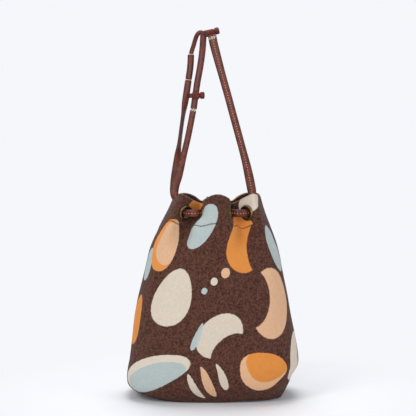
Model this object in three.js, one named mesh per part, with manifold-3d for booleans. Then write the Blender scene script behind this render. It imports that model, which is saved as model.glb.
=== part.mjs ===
// Kinchaku drawstring pouch: a boxed cloth bag gathered at the mouth on two leather drawcords.
// The cords run through brass eyelets and rise into a handle that is buttoned with leather knobs.
// Millimetres, +Z up. The origin is the middle of the flat base, and -Y is the front.
import * as THREE from 'three';
import { mergeVertices } from 'three/addons/utils/BufferGeometryUtils.js';
import Module from 'manifold-3d';

const wasm = await Module();
wasm.setup();

// Clearance between pieces that touch
const GAP = 0.3;

// Cloth bag: station heights, those of the neck measured down from the mouth, with widths and depths
const CLOTH = 2.4;
const BASE_WIDTH = 182;
const BASE_DEPTH = 100;
const CORNER_HEIGHT = 12;
const CORNER_WIDTH = 217;
const CORNER_DEPTH = 117;
const FLARE_HEIGHT = 28;
const FLARE_WIDTH = 231;
const FLARE_DEPTH = 131;
const BELLY_HEIGHT = 54;
const BELLY_WIDTH = 237;
const BELLY_DEPTH = 141;
const MIDDLE_HEIGHT = 130;
const MIDDLE_WIDTH = 213;
const MIDDLE_DEPTH = 142;
const MOUTH_HEIGHT = 292;
const SHOULDER_DROP = 87;
const SHOULDER_HEIGHT = MOUTH_HEIGHT - SHOULDER_DROP;
const SHOULDER_WIDTH = 183;
const SHOULDER_DEPTH = 130;
const THROAT_DROP = 52;
const THROAT_HEIGHT = MOUTH_HEIGHT - THROAT_DROP;
const THROAT_WIDTH = 155;
const THROAT_DEPTH = 121;
const EYELET_DROP = 28;
const EYELET_HEIGHT = MOUTH_HEIGHT - EYELET_DROP;
const NECK_WIDTH = 134;
const NECK_DEPTH = 116;
const MOUTH_WIDTH = 116;
const MOUTH_DEPTH = 108;
const BASE_LEAN = 6.5;
const CORNER_LEAN = -5.3;
const FLARE_LEAN = -5.4;
const BELLY_LEAN = 1.7;
const NECK_LEAN = 4.5;
const MOUTH_LEAN = 6.5;

// Gathers at the neck: a front and a back lobe, two side lobes and the four valleys between them
const LOBE_WIDTH = 34;
const LOBE_ROUND = 14;
const VALLEY_X = 20.5;
const VALLEY_Y = 17;
const VALLEY_ROUND = 6;
const SIDE_LOBE_X = 57;
const SIDE_LOBE_Y = 47.5;
const SIDE_LOBE_ROUND = 8;
const SIDE_FLAT = 20;
const SIDE_ROUND = 18;

// Gathers at the throat below: the valleys run apart and grow shallow
const THROAT_LOBE_WIDTH = 52;
const THROAT_VALLEY_X = 31;
const THROAT_VALLEY_Y = 27;

// Hem: it slopes into the valleys, and stands lower at the back and where the strands leave the mouth
const BACK_DROP = 14;
const VALLEY_DIP = 18;
const VALLEY_REACH = 46;
const LOBE_DROP = 5;
const LEFT_DIP = 21;
const RIGHT_DIP = 6;
const SIDE_REACH = 50;
const FRONT_SLOPE = 1.25;
const BACK_SLOPE = 2;

// Brass eyelets: a domed ring whose barrel is rolled over a washer inside the bag
const EYELET_RADIUS = 11;
const EYELET_BORE_RADIUS = 6.75;
const BARREL_WALL = 0.85;
const DOME_HEIGHT = 2.1;
const WASHER_THICKNESS = 0.8;
const ROLL_WIDTH = 1.3;
const INNER_EYELET_RUN = 16.5;
const OUTER_EYELET_RUN = 28.5;

// Leather drawcords, and the handle pieces at their ends
const CORD_DIAMETER = 8;
const TAB_WIDTH = 8.4;
const TAB_THICKNESS = 4.4;
const SLEEVE_WIDTH = 8.8;
const SLEEVE_THICKNESS = 6;
const TOP_THONG_DIAMETER = 5.6;
const SIDE_THONG_DIAMETER = 4.6;
const EYE_WALL = 1.2;
const TOP_EYE_HEIGHT = 8.8;
const TOP_EYE_LENGTH = 11;
const SIDE_EYE_HEIGHT = 10.2;
const SIDE_EYE_LENGTH = 9.6;
const KNOB_RADIUS = 4.9;
const KNOB_LENGTH = 6.8;
const KNOB_ROUND = 2.4;
const THREAD_WALL = 0.7;
const WHIPPING_HEIGHT = 5;
const SLEEVE_BAND_HEIGHT = 2.2;

// Mesh fineness
const COLUMNS = 64;
const EYELET_SEGMENTS = 16;
const OUTLINE_DIVISIONS = 1000;

const materials = {
  cloth: new THREE.MeshStandardMaterial({ color: 0x5a392f, roughness: 0.95, metalness: 0 }),
  brass: new THREE.MeshStandardMaterial({ color: 0x7d6a45, roughness: 0.45, metalness: 1 }),
  leather: new THREE.MeshStandardMaterial({ color: 0x7a4438, roughness: 0.6, metalness: 0 }),
  thread: new THREE.MeshStandardMaterial({ color: 0xd0bfa4, roughness: 0.9, metalness: 0 }),
};

const pouch = new THREE.Group();

function addPiece(name, geometry, material, parent = pouch) {
  const piece = new THREE.Mesh(geometry, material);
  piece.name = name;
  parent.add(piece);
  return piece;
}

// Solid helpers
function toSolid(geometry) {
  const bare = new THREE.BufferGeometry();
  bare.setAttribute('position', geometry.getAttribute('position'));
  bare.setIndex(geometry.getIndex());
  const merged = mergeVertices(bare, 1e-4);
  return new wasm.Manifold(new wasm.Mesh({
    numProp: 3,
    vertProperties: new Float32Array(merged.getAttribute('position').array),
    triVerts: new Uint32Array(merged.getIndex().array),
  }));
}

function toGeometry(solid) {
  const mesh = solid.getMesh();
  const geometry = new THREE.BufferGeometry();
  geometry.setAttribute('position', new THREE.BufferAttribute(mesh.vertProperties, 3));
  geometry.setIndex(new THREE.BufferAttribute(mesh.triVerts, 1));
  geometry.computeVertexNormals();
  return geometry;
}

// Bag outline at each height: a rounded box that turns into the gathered outline at the neck
const STATIONS = [
  { z: 0, width: BASE_WIDTH, depth: BASE_DEPTH, power: 3, lean: BASE_LEAN, fold: 0 },
  { z: CORNER_HEIGHT, width: CORNER_WIDTH, depth: CORNER_DEPTH, power: 3.1, lean: CORNER_LEAN, fold: 0 },
  { z: FLARE_HEIGHT, width: FLARE_WIDTH, depth: FLARE_DEPTH, power: 3, lean: FLARE_LEAN, fold: 0 },
  { z: BELLY_HEIGHT, width: BELLY_WIDTH, depth: BELLY_DEPTH, power: 2.9, lean: BELLY_LEAN, fold: 0 },
  { z: MIDDLE_HEIGHT, width: MIDDLE_WIDTH, depth: MIDDLE_DEPTH, power: 2.7, lean: 1, fold: 0 },
  { z: SHOULDER_HEIGHT, width: SHOULDER_WIDTH, depth: SHOULDER_DEPTH, power: 2.4, lean: 1, fold: 0.2 },
  { z: THROAT_HEIGHT, width: THROAT_WIDTH, depth: THROAT_DEPTH, power: 2.2, lean: 2.5, fold: 0.85 },
  { z: EYELET_HEIGHT, width: NECK_WIDTH, depth: NECK_DEPTH, power: 2.2, lean: NECK_LEAN, fold: 1 },
  { z: MOUTH_HEIGHT, width: MOUTH_WIDTH, depth: MOUTH_DEPTH, power: 2.2, lean: MOUTH_LEAN, fold: 1 },
];
const ROWS_PER_SPAN = [3, 2, 2, 3, 3, 3, 2, 3];

function slopeAt(index, key) {
  const before = STATIONS[Math.max(index - 1, 0)];
  const after = STATIONS[Math.min(index + 1, STATIONS.length - 1)];
  return (after[key] - before[key]) / (after.z - before.z);
}

function atHeight(z, key) {
  const last = STATIONS.length - 2;
  const index = Math.min(Math.max(STATIONS.findLastIndex((station) => station.z <= z), 0), last);
  const low = STATIONS[index];
  const high = STATIONS[index + 1];
  const span = high.z - low.z;
  const t = (z - low.z) / span;
  const levels = low[key] + (3 - 2 * t) * t * t * (high[key] - low[key]);
  const slopes = (t - 1) * slopeAt(index, key) + t * slopeAt(index + 1, key);
  return levels + (t - 1) * t * span * slopes;
}

class RoundedBox extends THREE.Curve {
  constructor(halfWidth, halfDepth, power) {
    super();
    Object.assign(this, { halfWidth, halfDepth, power, arcLengthDivisions: OUTLINE_DIVISIONS });
  }

  getPoint(t, target = new THREE.Vector2()) {
    const angle = (t - 0.25) * 2 * Math.PI;
    const bulge = (value) => Math.sign(value) * Math.abs(value) ** (2 / this.power);
    return target.set(this.halfWidth * bulge(Math.cos(angle)), this.halfDepth * bulge(Math.sin(angle)));
  }
}

const NECK_CORNERS = {
  lobe: new THREE.Vector2(LOBE_WIDTH / 2, -NECK_DEPTH / 2),
  valley: new THREE.Vector2(VALLEY_X, -VALLEY_Y),
  sideLobe: new THREE.Vector2(SIDE_LOBE_X, -SIDE_LOBE_Y),
  side: new THREE.Vector2(NECK_WIDTH / 2, -SIDE_FLAT),
};
const THROAT_CORNERS = {
  ...NECK_CORNERS,
  lobe: new THREE.Vector2(THROAT_LOBE_WIDTH / 2, -NECK_DEPTH / 2),
  valley: new THREE.Vector2(THROAT_VALLEY_X, -THROAT_VALLEY_Y),
};

function gatheredOutline(neckShare) {
  const corner = (name, round) => (
    { at: THROAT_CORNERS[name].clone().lerp(NECK_CORNERS[name], neckShare), round }
  );
  const quarter = [
    corner('lobe', LOBE_ROUND),
    corner('valley', VALLEY_ROUND),
    corner('sideLobe', SIDE_LOBE_ROUND),
    corner('side', SIDE_ROUND),
  ];
  const mirror = (corners, x, y) => corners.toReversed().map(({ at, round }) => (
    { at: new THREE.Vector2(at.x * x, at.y * y), round }
  ));
  const half = [...quarter, ...mirror(quarter, 1, -1)];
  const corners = [...half, ...mirror(half, -1, 1)];
  const path = new THREE.Path();
  path.moveTo(0, -NECK_DEPTH / 2);
  corners.forEach(({ at, round }, i) => {
    const before = corners.at(i - 1).at;
    const after = corners[(i + 1) % corners.length].at;
    const start = before.clone().sub(at).setLength(round).add(at);
    const end = after.clone().sub(at).setLength(round).add(at);
    path.lineTo(start.x, start.y);
    path.quadraticCurveTo(at.x, at.y, end.x, end.y);
  });
  path.lineTo(0, -NECK_DEPTH / 2);
  return path.getSpacedPoints(COLUMNS).slice(0, COLUMNS);
}

const GATHERS = gatheredOutline(1);
const outlines = new Map();

function outlineAt(z) {
  if (!outlines.has(z)) outlines.set(z, makeOutline(z));
  return outlines.get(z);
}

function makeOutline(z) {
  const width = atHeight(z, 'width');
  const depth = atHeight(z, 'depth');
  const lean = new THREE.Vector2(atHeight(z, 'lean'), 0);
  const plain = new RoundedBox(width / 2, depth / 2, atHeight(z, 'power')).getSpacedPoints(COLUMNS);
  const scale = new THREE.Vector2(width / NECK_WIDTH, depth / NECK_DEPTH);
  const gathers = gatheredOutline(THREE.MathUtils.smoothstep(z, THROAT_HEIGHT, EYELET_HEIGHT));
  return gathers.map((gather, i) => (
    plain[i].lerp(gather.clone().multiply(scale), atHeight(z, 'fold')).add(lean)
  ));
}

function inset(outline, distance) {
  return outline.map((point, i) => {
    const along = outline[(i + 1) % COLUMNS].clone().sub(outline.at(i - 1)).normalize();
    return new THREE.Vector2(point.x - along.y * distance, point.y + along.x * distance);
  });
}

function hemHeight(gather) {
  const valley = new THREE.Vector2(VALLEY_X, VALLEY_Y);
  const toValley = valley.distanceTo(new THREE.Vector2(Math.abs(gather.x), Math.abs(gather.y)));
  const toSide = Math.hypot(NECK_WIDTH / 2 - Math.abs(gather.x), gather.y);
  const backDrop = BACK_DROP * Math.max(gather.y / (NECK_DEPTH / 2), 0) ** 2;
  const valleySlope = gather.y < 0 ? FRONT_SLOPE : BACK_SLOPE;
  const valleyDip = VALLEY_DIP * Math.max(1 - toValley / VALLEY_REACH, 0) ** valleySlope;
  const sideDepth = gather.x < 0 ? LEFT_DIP : RIGHT_DIP;
  const sideDip = sideDepth * Math.max(1 - toSide / SIDE_REACH, 0) ** FRONT_SLOPE;
  const aside = Math.min(Math.abs(gather.x) / (LOBE_WIDTH / 2), 1);
  const clearOfEyelets = THREE.MathUtils.smoothstep(toValley, EYELET_RADIUS, 3 * EYELET_RADIUS);
  const lobeDrop = Math.abs(gather.x) < VALLEY_X ? LOBE_DROP * clearOfEyelets * aside ** 2 : 0;
  return MOUTH_HEIGHT - backDrop - valleyDip - sideDip - lobeDrop;
}

function columnHeight(z, column) {
  const share = Math.max(z - EYELET_HEIGHT, 0) / (MOUTH_HEIGHT - EYELET_HEIGHT);
  return Math.min(z, EYELET_HEIGHT) + share * (hemHeight(GATHERS[column]) - EYELET_HEIGHT);
}

// Cloth wall: rings go up the outside, over the hem and down the inside
function clothShell() {
  const heights = [0];
  ROWS_PER_SPAN.forEach((rows, i) => {
    for (let row = 1; row <= rows; row += 1) {
      heights.push(THREE.MathUtils.lerp(STATIONS[i].z, STATIONS[i + 1].z, row / rows));
    }
  });
  const wallPoint = (z, column, depth) => {
    const height = columnHeight(z, column);
    const { x, y } = inset(outlineAt(height), depth)[column];
    return new THREE.Vector3(x, y, height + depth * (1 - height / hemHeight(GATHERS[column])));
  };
  const wall = (depth) => heights.map((z) => GATHERS.map((_, column) => wallPoint(z, column, depth)));
  const outer = wall(0);
  const inner = wall(CLOTH);
  const rings = [...outer, ...inner.toReversed()];
  const points = [new THREE.Vector3(0, 0, 0), ...rings.flat(), new THREE.Vector3(0, 0, CLOTH)];
  const faces = [];
  const at = (ring, column) => 1 + ring * COLUMNS + (column % COLUMNS);
  for (let i = 0; i < COLUMNS; i += 1) {
    faces.push(0, at(0, i + 1), at(0, i));
    for (let ring = 0; ring < rings.length - 1; ring += 1) {
      faces.push(at(ring, i), at(ring, i + 1), at(ring + 1, i + 1));
      faces.push(at(ring, i), at(ring + 1, i + 1), at(ring + 1, i));
    }
    faces.push(at(rings.length - 1, i), at(rings.length - 1, i + 1), points.length - 1);
  }
  const geometry = new THREE.BufferGeometry().setFromPoints(points);
  geometry.setIndex(faces);
  return geometry;
}

// Eyelet places: two on each valley's flanks, square to the cloth
const VALLEY_SIGNS = [[-1, 1], [1, 1], [1, -1], [-1, -1]];

function eyeletFrame(flankEnd, fromValley, signX, signY) {
  const flank = flankEnd.clone().sub(NECK_CORNERS.valley).setLength(fromValley);
  const place = NECK_CORNERS.valley.clone().add(flank).multiply(new THREE.Vector2(signX, signY));
  const column = GATHERS.reduce((best, gather, i) => (
    gather.distanceTo(place) < GATHERS[best].distanceTo(place) ? i : best
  ), 0);
  const rise = EYELET_RADIUS / 2;
  const [below, here, above] = [-rise, 0, rise].map((step) => outlineAt(EYELET_HEIGHT + step));
  const climb = above[column].clone().sub(below[column]);
  const up = new THREE.Vector3(climb.x, climb.y, 2 * rise);
  const run = here[(column + 1) % COLUMNS].clone().sub(here.at(column - 1));
  const along = new THREE.Vector3(run.x, run.y, 0);
  return {
    position: new THREE.Vector3(place.x + NECK_LEAN, place.y, EYELET_HEIGHT),
    normal: along.cross(up).normalize(),
  };
}

const EYELETS = VALLEY_SIGNS.flatMap(([signX, signY]) => [
  eyeletFrame(NECK_CORNERS.sideLobe, OUTER_EYELET_RUN, signX, signY),
  eyeletFrame(NECK_CORNERS.lobe, INNER_EYELET_RUN, signX, signY),
]);

function placeOnAxis(object, { position, normal }, localAxis) {
  object.position.copy(position);
  object.quaternion.setFromUnitVectors(localAxis, normal);
  object.updateMatrixWorld();
  return object;
}

const LATHE_AXIS = new THREE.Vector3(0, 1, 0);
const EXTRUDE_AXIS = new THREE.Vector3(0, 0, 1);
const BARREL_RADIUS = EYELET_BORE_RADIUS + BARREL_WALL;
const WASHER_BACK = -CLOTH - GAP - WASHER_THICKNESS;

function ringGeometry(profile) {
  const points = profile.map(([radius, height]) => new THREE.Vector2(radius, height));
  return new THREE.LatheGeometry([...points, points[0]], EYELET_SEGMENTS);
}

function cutEyeletSeats(cloth) {
  const seatRadius = EYELET_RADIUS + GAP;
  const reach = EYELET_RADIUS;
  const seats = [
    { radius: BARREL_RADIUS + GAP, low: -reach, high: reach },
    { radius: seatRadius, low: 0, high: reach / 2 },
    { radius: seatRadius, low: -reach / 2, high: -CLOTH },
  ];
  return EYELETS.reduce((solid, frame) => seats.reduce((rest, { radius, low, high }) => {
    const cutter = new THREE.CylinderGeometry(radius, radius, high - low, EYELET_SEGMENTS);
    cutter.translate(0, (low + high) / 2, 0);
    cutter.applyMatrix4(placeOnAxis(new THREE.Object3D(), frame, LATHE_AXIS).matrixWorld);
    return rest.subtract(toSolid(cutter));
  }, solid), cloth);
}

function eyeletRing() {
  const rollBack = WASHER_BACK - GAP - BARREL_WALL;
  return ringGeometry([
    [EYELET_BORE_RADIUS, rollBack],
    [BARREL_RADIUS + ROLL_WIDTH, rollBack],
    [BARREL_RADIUS + ROLL_WIDTH, WASHER_BACK - GAP],
    [BARREL_RADIUS, WASHER_BACK - GAP],
    [BARREL_RADIUS, GAP],
    [EYELET_RADIUS, GAP],
    [EYELET_RADIUS - DOME_HEIGHT / 3, DOME_HEIGHT * 0.75],
    [(EYELET_RADIUS + EYELET_BORE_RADIUS) / 2, DOME_HEIGHT + GAP],
    [EYELET_BORE_RADIUS, DOME_HEIGHT / 2],
  ]);
}

function eyeletWasher() {
  const inside = BARREL_RADIUS + GAP;
  const front = -CLOTH - GAP;
  return ringGeometry([
    [inside, WASHER_BACK], [EYELET_RADIUS, WASHER_BACK], [EYELET_RADIUS, front], [inside, front],
  ]);
}

// Drawcord routes: the two strands of the handle lie one behind the other, the front cord at -Y
const STRAND_Y = (CORD_DIAMETER + GAP) / 2;
const LEFT_FRONT_STRAND = [
  [-27, 404], [-31, 386], [-35, 368], [-39.5, 349], [-44, 330], [-48.5, 313], [-52.8, 298],
];
const LEFT_BACK_STRAND = [
  [-33.8, 445], [-37, 424], [-40.3, 402], [-43.3, 380], [-46, 358], [-48.8, 337], [-51.3, 316], [-53.3, 298],
];
const RIGHT_STRAND = [
  [53.2, 298], [47.5, 325], [41, 350], [34.2, 375], [27.3, 400], [20.5, 425], [13.4, 450], [6.5, 475],
  [1, 496], [-0.8, 505.5],
];
const MOUTH_RUN = [
  [-53.8, 5, 287], [-51.2, 8.5, 277], [-49, 15, 269.5], [-45.6, 22.5, 265.5], [-41.3, 30.5, 264.2],
  [-37.7, 35.2, 264], [-26.3, 40, 264], [-14.6, 33.6, 264], [-4, 31.8, 264],
  [4.5, 31.5, 264], [13, 31.8, 264], [23.6, 33.6, 264], [35.3, 40, 264], [46.7, 35.2, 264],
  [50.5, 30.5, 264.2], [54.3, 22, 265.5], [56, 14.5, 269.5], [56, 8.5, 277], [55, 5, 287],
];

function drawcordRoute(leftStrand, side) {
  const strand = (points) => points.map(([x, z]) => new THREE.Vector3(x, side * STRAND_Y, z));
  const mouth = MOUTH_RUN.map(([x, y, z]) => new THREE.Vector3(x, side * y, z));
  return new THREE.CatmullRomCurve3([...strand(leftStrand), ...mouth, ...strand(RIGHT_STRAND)]);
}

function tubeAlong(curve, steps, sides, width, thickness = width) {
  const section = new THREE.Shape().absellipse(0, 0, thickness / 2, width / 2, 0, 2 * Math.PI);
  return new THREE.ExtrudeGeometry(section, { steps, extrudePath: curve, curveSegments: sides / 2 });
}

const frontRoute = drawcordRoute(LEFT_FRONT_STRAND, -1);
const backRoute = drawcordRoute(LEFT_BACK_STRAND, 1);
const frontStart = frontRoute.getPoint(0);
const backStart = backRoute.getPoint(0);
const rightEnd = frontRoute.getPoint(1).setY(0);

// Handle routes: each starts just past the cord end that it is bound to
function routeFrom(start, points) {
  return new THREE.CatmullRomCurve3([start, ...points].map((p) => new THREE.Vector3(...p)));
}

const tabRoute = routeFrom([frontStart.x + 0.2, frontStart.y, frontStart.z + GAP], [
  [-24.2, -STRAND_Y, 424], [-22, -STRAND_Y, 441], [-18.6, -STRAND_Y, 463], [-15.6, -3, 486],
  [-13.6, -0.8, 505.7],
]);
const sleeveRoute = routeFrom([backStart.x, backStart.y, backStart.z + GAP], [
  [-32, STRAND_Y, 457], [-30.8, STRAND_Y, 469], [-30.4, STRAND_Y, 480.5],
]);
const sleeveEnd = sleeveRoute.getPoint(1);
const topThongRoute = routeFrom([sleeveEnd.x, sleeveEnd.y, sleeveEnd.z + GAP], [
  [-30.1, STRAND_Y, 484.5], [-29, 3.8, 489], [-26.8, 3, 496], [-23.8, 2, 503], [-20.2, 0.9, 508.1],
  [-15.8, 0.2, 509.5], [-10.8, 0, 508.3], [-4.5, 0, 509.9], [2, 0, 511.8],
]);
const SIDE_TOGGLE_Z = 424.4;
const sideEyeRadius = SIDE_THONG_DIAMETER / 2 + GAP + EYE_WALL;
const sideToggleY = -STRAND_Y - TAB_THICKNESS / 2 - GAP - sideEyeRadius;
const sideThongRoute = routeFrom([-37, STRAND_Y - CORD_DIAMETER / 2 - GAP, SIDE_TOGGLE_Z - 1], [
  [-36.2, sideToggleY / 2, SIDE_TOGGLE_Z - 1], [-33, sideToggleY * 0.88, SIDE_TOGGLE_Z - 0.4],
  [-28, sideToggleY, SIDE_TOGGLE_Z], [-18.4, sideToggleY, SIDE_TOGGLE_Z],
]);

function frameAt(curve, share) {
  return { position: curve.getPointAt(share), normal: curve.getTangentAt(share) };
}

function roundEnded(path, width, depth) {
  const radius = Math.min(width, depth) / 2;
  const x = width / 2 - radius;
  const y = depth / 2 - radius;
  const centres = [[x, y], [-x, y], [-x, -y], [x, -y]];
  centres.forEach(([centreX, centreY], quarter) => {
    const start = quarter * Math.PI / 2;
    path.absarc(centreX, centreY, radius, start, start + Math.PI / 2);
  });
  return path;
}

function bandGeometry(holeWidth, holeDepth, width, depth, height) {
  const outline = roundEnded(new THREE.Shape(), width, depth);
  outline.holes.push(roundEnded(new THREE.Path(), holeWidth, holeDepth));
  const options = { depth: height, bevelEnabled: false, curveSegments: 2 };
  return new THREE.ExtrudeGeometry(outline, options).translate(0, 0, -height / 2);
}

function addWhipping(name, frame, boundWidth, boundDepth, height) {
  const holeWidth = boundWidth + 2 * GAP;
  const holeDepth = boundDepth + 2 * GAP;
  const geometry = bandGeometry(
    holeWidth, holeDepth, holeWidth + 2 * THREAD_WALL, holeDepth + 2 * THREAD_WALL, height,
  );
  placeOnAxis(addPiece(name, geometry, materials.thread), frame, EXTRUDE_AXIS);
}

function addEye(name, frame, thongDiameter, height, length) {
  const hole = thongDiameter + 2 * GAP;
  const geometry = bandGeometry(hole, hole, height, hole + 2 * EYE_WALL, length);
  placeOnAxis(addPiece(name, geometry, materials.leather), frame, EXTRUDE_AXIS);
}

function knobGeometry() {
  const half = KNOB_LENGTH / 2;
  const arc = (angle) => new THREE.Vector2(
    KNOB_RADIUS - KNOB_ROUND * (1 - Math.cos(angle)), half - KNOB_ROUND * (1 - Math.sin(angle)),
  );
  const shoulder = [0, Math.PI / 6, Math.PI / 3, Math.PI / 2].map(arc);
  const lower = shoulder.toReversed().map((p) => new THREE.Vector2(p.x, -p.y));
  const profile = [new THREE.Vector2(0, -half), ...lower, ...shoulder, new THREE.Vector2(0, half)];
  return new THREE.LatheGeometry(profile, EYELET_SEGMENTS);
}

function addKnob(name, thongRoute) {
  const { position, normal } = frameAt(thongRoute, 1);
  position.addScaledVector(normal, GAP + KNOB_LENGTH / 2);
  placeOnAxis(addPiece(name, knobGeometry(), materials.leather), { position, normal }, LATHE_AXIS);
}

// Bag and eyelets
addPiece('bag_body', toGeometry(cutEyeletSeats(toSolid(clothShell()))), materials.cloth);
EYELETS.forEach((frame, i) => {
  const seat = placeOnAxis(new THREE.Group(), frame, LATHE_AXIS);
  pouch.add(seat);
  addPiece(`eyelet_${i + 1}`, eyeletRing(), materials.brass, seat);
  addPiece(`eyelet_washer_${i + 1}`, eyeletWasher(), materials.brass, seat);
});

// Cords and handle
addPiece('front_cord', tubeAlong(frontRoute, 64, 8, CORD_DIAMETER), materials.leather);
addPiece('back_cord', tubeAlong(backRoute, 68, 8, CORD_DIAMETER), materials.leather);
addPiece('long_tab', tubeAlong(tabRoute, 10, 10, TAB_WIDTH, TAB_THICKNESS), materials.leather);
addPiece('cord_sleeve', tubeAlong(sleeveRoute, 5, 10, SLEEVE_WIDTH, SLEEVE_THICKNESS), materials.leather);
addPiece('top_thong', tubeAlong(topThongRoute, 16, 8, TOP_THONG_DIAMETER), materials.leather);
addPiece('side_thong', tubeAlong(sideThongRoute, 10, 8, SIDE_THONG_DIAMETER), materials.leather);

// Toggle eyes, knobs and thread bindings
const topEyeShare = 1 - (TOP_EYE_LENGTH / 2 + GAP) / topThongRoute.getLength();
const sideEyeShare = 1 - (SIDE_EYE_LENGTH / 2 + GAP) / sideThongRoute.getLength();
const topEyeFrame = frameAt(topThongRoute, topEyeShare);
const sideEyeFrame = frameAt(sideThongRoute, sideEyeShare);
addEye('top_eye', topEyeFrame, TOP_THONG_DIAMETER, TOP_EYE_HEIGHT, TOP_EYE_LENGTH);
addEye('side_eye', sideEyeFrame, SIDE_THONG_DIAMETER, SIDE_EYE_HEIGHT, SIDE_EYE_LENGTH);
addKnob('top_knob', topThongRoute);
addKnob('side_knob', sideThongRoute);

const strandWidth = Math.max(CORD_DIAMETER, TAB_WIDTH);
const sleeveWidth = Math.max(CORD_DIAMETER, SLEEVE_WIDTH);
const rightTop = frameAt(frontRoute, 1 - WHIPPING_HEIGHT / 2 / frontRoute.getLength());
rightTop.position.setY(rightEnd.y);
addWhipping('top_whipping', rightTop, CORD_DIAMETER, 2 * CORD_DIAMETER + GAP, WHIPPING_HEIGHT);
addWhipping('lower_whipping', frameAt(tabRoute, 0), strandWidth, CORD_DIAMETER, WHIPPING_HEIGHT);
addWhipping('sleeve_band_lower', frameAt(sleeveRoute, 0), sleeveWidth, CORD_DIAMETER, SLEEVE_BAND_HEIGHT);
addWhipping('sleeve_band_upper', frameAt(sleeveRoute, 1), SLEEVE_WIDTH, SLEEVE_THICKNESS, SLEEVE_BAND_HEIGHT);

export default pouch;
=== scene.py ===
# Kinchaku drawstring pouch: printed canvas, stitched leather drawcords, thread bindings and aged brass.
# The tables are in millimetres, and MM turns them into metres. -Y is the front and +Z is up.
import math

import bpy
import numpy as np
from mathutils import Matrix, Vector, noise


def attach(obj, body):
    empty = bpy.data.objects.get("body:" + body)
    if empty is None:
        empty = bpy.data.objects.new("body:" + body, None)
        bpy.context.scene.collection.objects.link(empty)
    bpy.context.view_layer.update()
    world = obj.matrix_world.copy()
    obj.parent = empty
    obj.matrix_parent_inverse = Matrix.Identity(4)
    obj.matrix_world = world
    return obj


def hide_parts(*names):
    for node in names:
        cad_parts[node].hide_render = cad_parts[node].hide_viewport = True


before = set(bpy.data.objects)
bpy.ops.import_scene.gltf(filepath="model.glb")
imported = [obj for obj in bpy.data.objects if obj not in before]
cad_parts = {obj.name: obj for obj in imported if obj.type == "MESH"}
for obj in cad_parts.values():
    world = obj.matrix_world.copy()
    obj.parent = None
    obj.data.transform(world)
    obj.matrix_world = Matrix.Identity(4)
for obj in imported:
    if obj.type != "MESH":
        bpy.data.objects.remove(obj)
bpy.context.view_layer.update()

MM = 0.001
BODY = "root"

# Floor and sky: reach of the shadow in metres, from full to none, and the light from all around
FLOOR_HALF = 6000.0
SHADOW_REACH = (0.14, 0.36)
SKY = (0.96, 0.98, 1.0, 1.0)
SKY_STRENGTH = 0.45

# Softboxes: name, place, target and size in metres, and watts
SOFTBOXES = [
    ("key_softbox", (-1.3, -1.3, 1.8), (0, 0, 0.2), 0.9, 17),
    ("overhead_softbox", (0.0, 0.45, 2.1), (0, 0, 0.1), 1.3, 30),
    ("front_softbox", (-0.2, -2.2, 0.5), (0, 0, 0.22), 0.8, 11),
    ("side_softbox", (1.6, -1.0, 0.9), (0, 0, 0.25), 1.0, 6),
]

# View of the photograph
VIEW_PIXELS = 416
VIEW_PIXEL_SIZE = 1.4
VIEW_TARGET = (-6.7, 0.0, 266.4)
VIEW_DISTANCE = 2200.0
VIEW_PITCH = math.radians(7)

# Cloth bag: main heights, and the neck at the eyelets
THROAT_HEIGHT = 240.0
EYELET_HEIGHT = 264.0
MOUTH_HEIGHT = 292.0
NECK_WIDTH = 134.0
NECK_DEPTH = 116.0

# Stations: height, width, depth, power of the rounded box, lean to the right, share of the gathers
STATIONS = np.array([
    (0, 182, 100, 3.0, 6.5, 0.0),
    (12, 217, 117, 3.1, -5.3, 0.0),
    (28, 231, 131, 3.0, -5.4, 0.0),
    (54, 237, 141, 2.9, 1.7, 0.0),
    (130, 213, 142, 2.7, 1.0, 0.0),
    (205, 183, 130, 2.4, 1.0, 0.2),
    (THROAT_HEIGHT, 155, 121, 2.2, 2.5, 0.85),
    (EYELET_HEIGHT, NECK_WIDTH, NECK_DEPTH, 2.2, 4.5, 1.0),
    (MOUTH_HEIGHT, 116, 108, 2.2, 6.5, 1.0),
])
WIDTH, DEPTH, POWER, LEAN, GATHER = range(1, 6)

# Mesh of the bag
CLOTH = 2.4
COLUMNS = 224
ROW_HEIGHT = 2.6
BASE_RINGS = 10
BASE_MIDDLE = 0.06
HEM_ARC_STEPS = 3
OUTLINE_LEVELS = 293
BOX_POINTS = 1440
CORNER_STEPS = 40

# Depth of the folded hem below the mouth's edge, and the stitches that hold it
HEM_FOLD = 41.0
HEM_STITCH_SIZE = (1.5, 0.4, 0.32)
HEM_STITCH_STEP = 2

# Folds of the cloth: stretch across, through and up, start of the noise, and depth
LONG_FOLDS = ((16, 16, 120), 3.1, 2.6)
SLACK_DENTS = ((46, 46, 60), 11.7, 2.4)
CORNER_CREASES = ((24, 24, 13), 23.3, 1.6)
FOLD_HEIGHT = 222.0
FOLD_SPREAD = 42.0
SLACK_START = (10, 50)
SLACK_END = (190, 250)
CREASE_HEIGHT = 26.0
CREASE_SPREAD = 18.0
CREASE_OUT = (60, 105)
RIDGE = ((-70, 230), (-91, 136))
RIDGE_RISE = 2.0
RIDGE_SPREAD = 8.0
RIDGE_START = (-0.15, 0.25)
RIDGE_END = (0.6, 1.2)
SMOOTH_FOOT = (0, 16)

# Front right of the base, which stands off the floor a little
BASE_LIFT = 2.6
BASE_LIFT_RIGHT = (8, 45)
BASE_LIFT_FRONT = (10, 40)
BASE_LIFT_UP = (0, 24)

# Gathers of one quarter of the throat and of the neck above it: lobe, valley, side lobe and side
THROAT_CORNERS = np.array([(26, -NECK_DEPTH / 2), (31, -27), (57, -47.5), (NECK_WIDTH / 2, -20)])
NECK_CORNERS = np.array([(17, -NECK_DEPTH / 2), (20.5, -17), (57, -47.5), (NECK_WIDTH / 2, -20)])
CORNER_ROUNDING = [14, 6, 8, 18]

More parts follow.
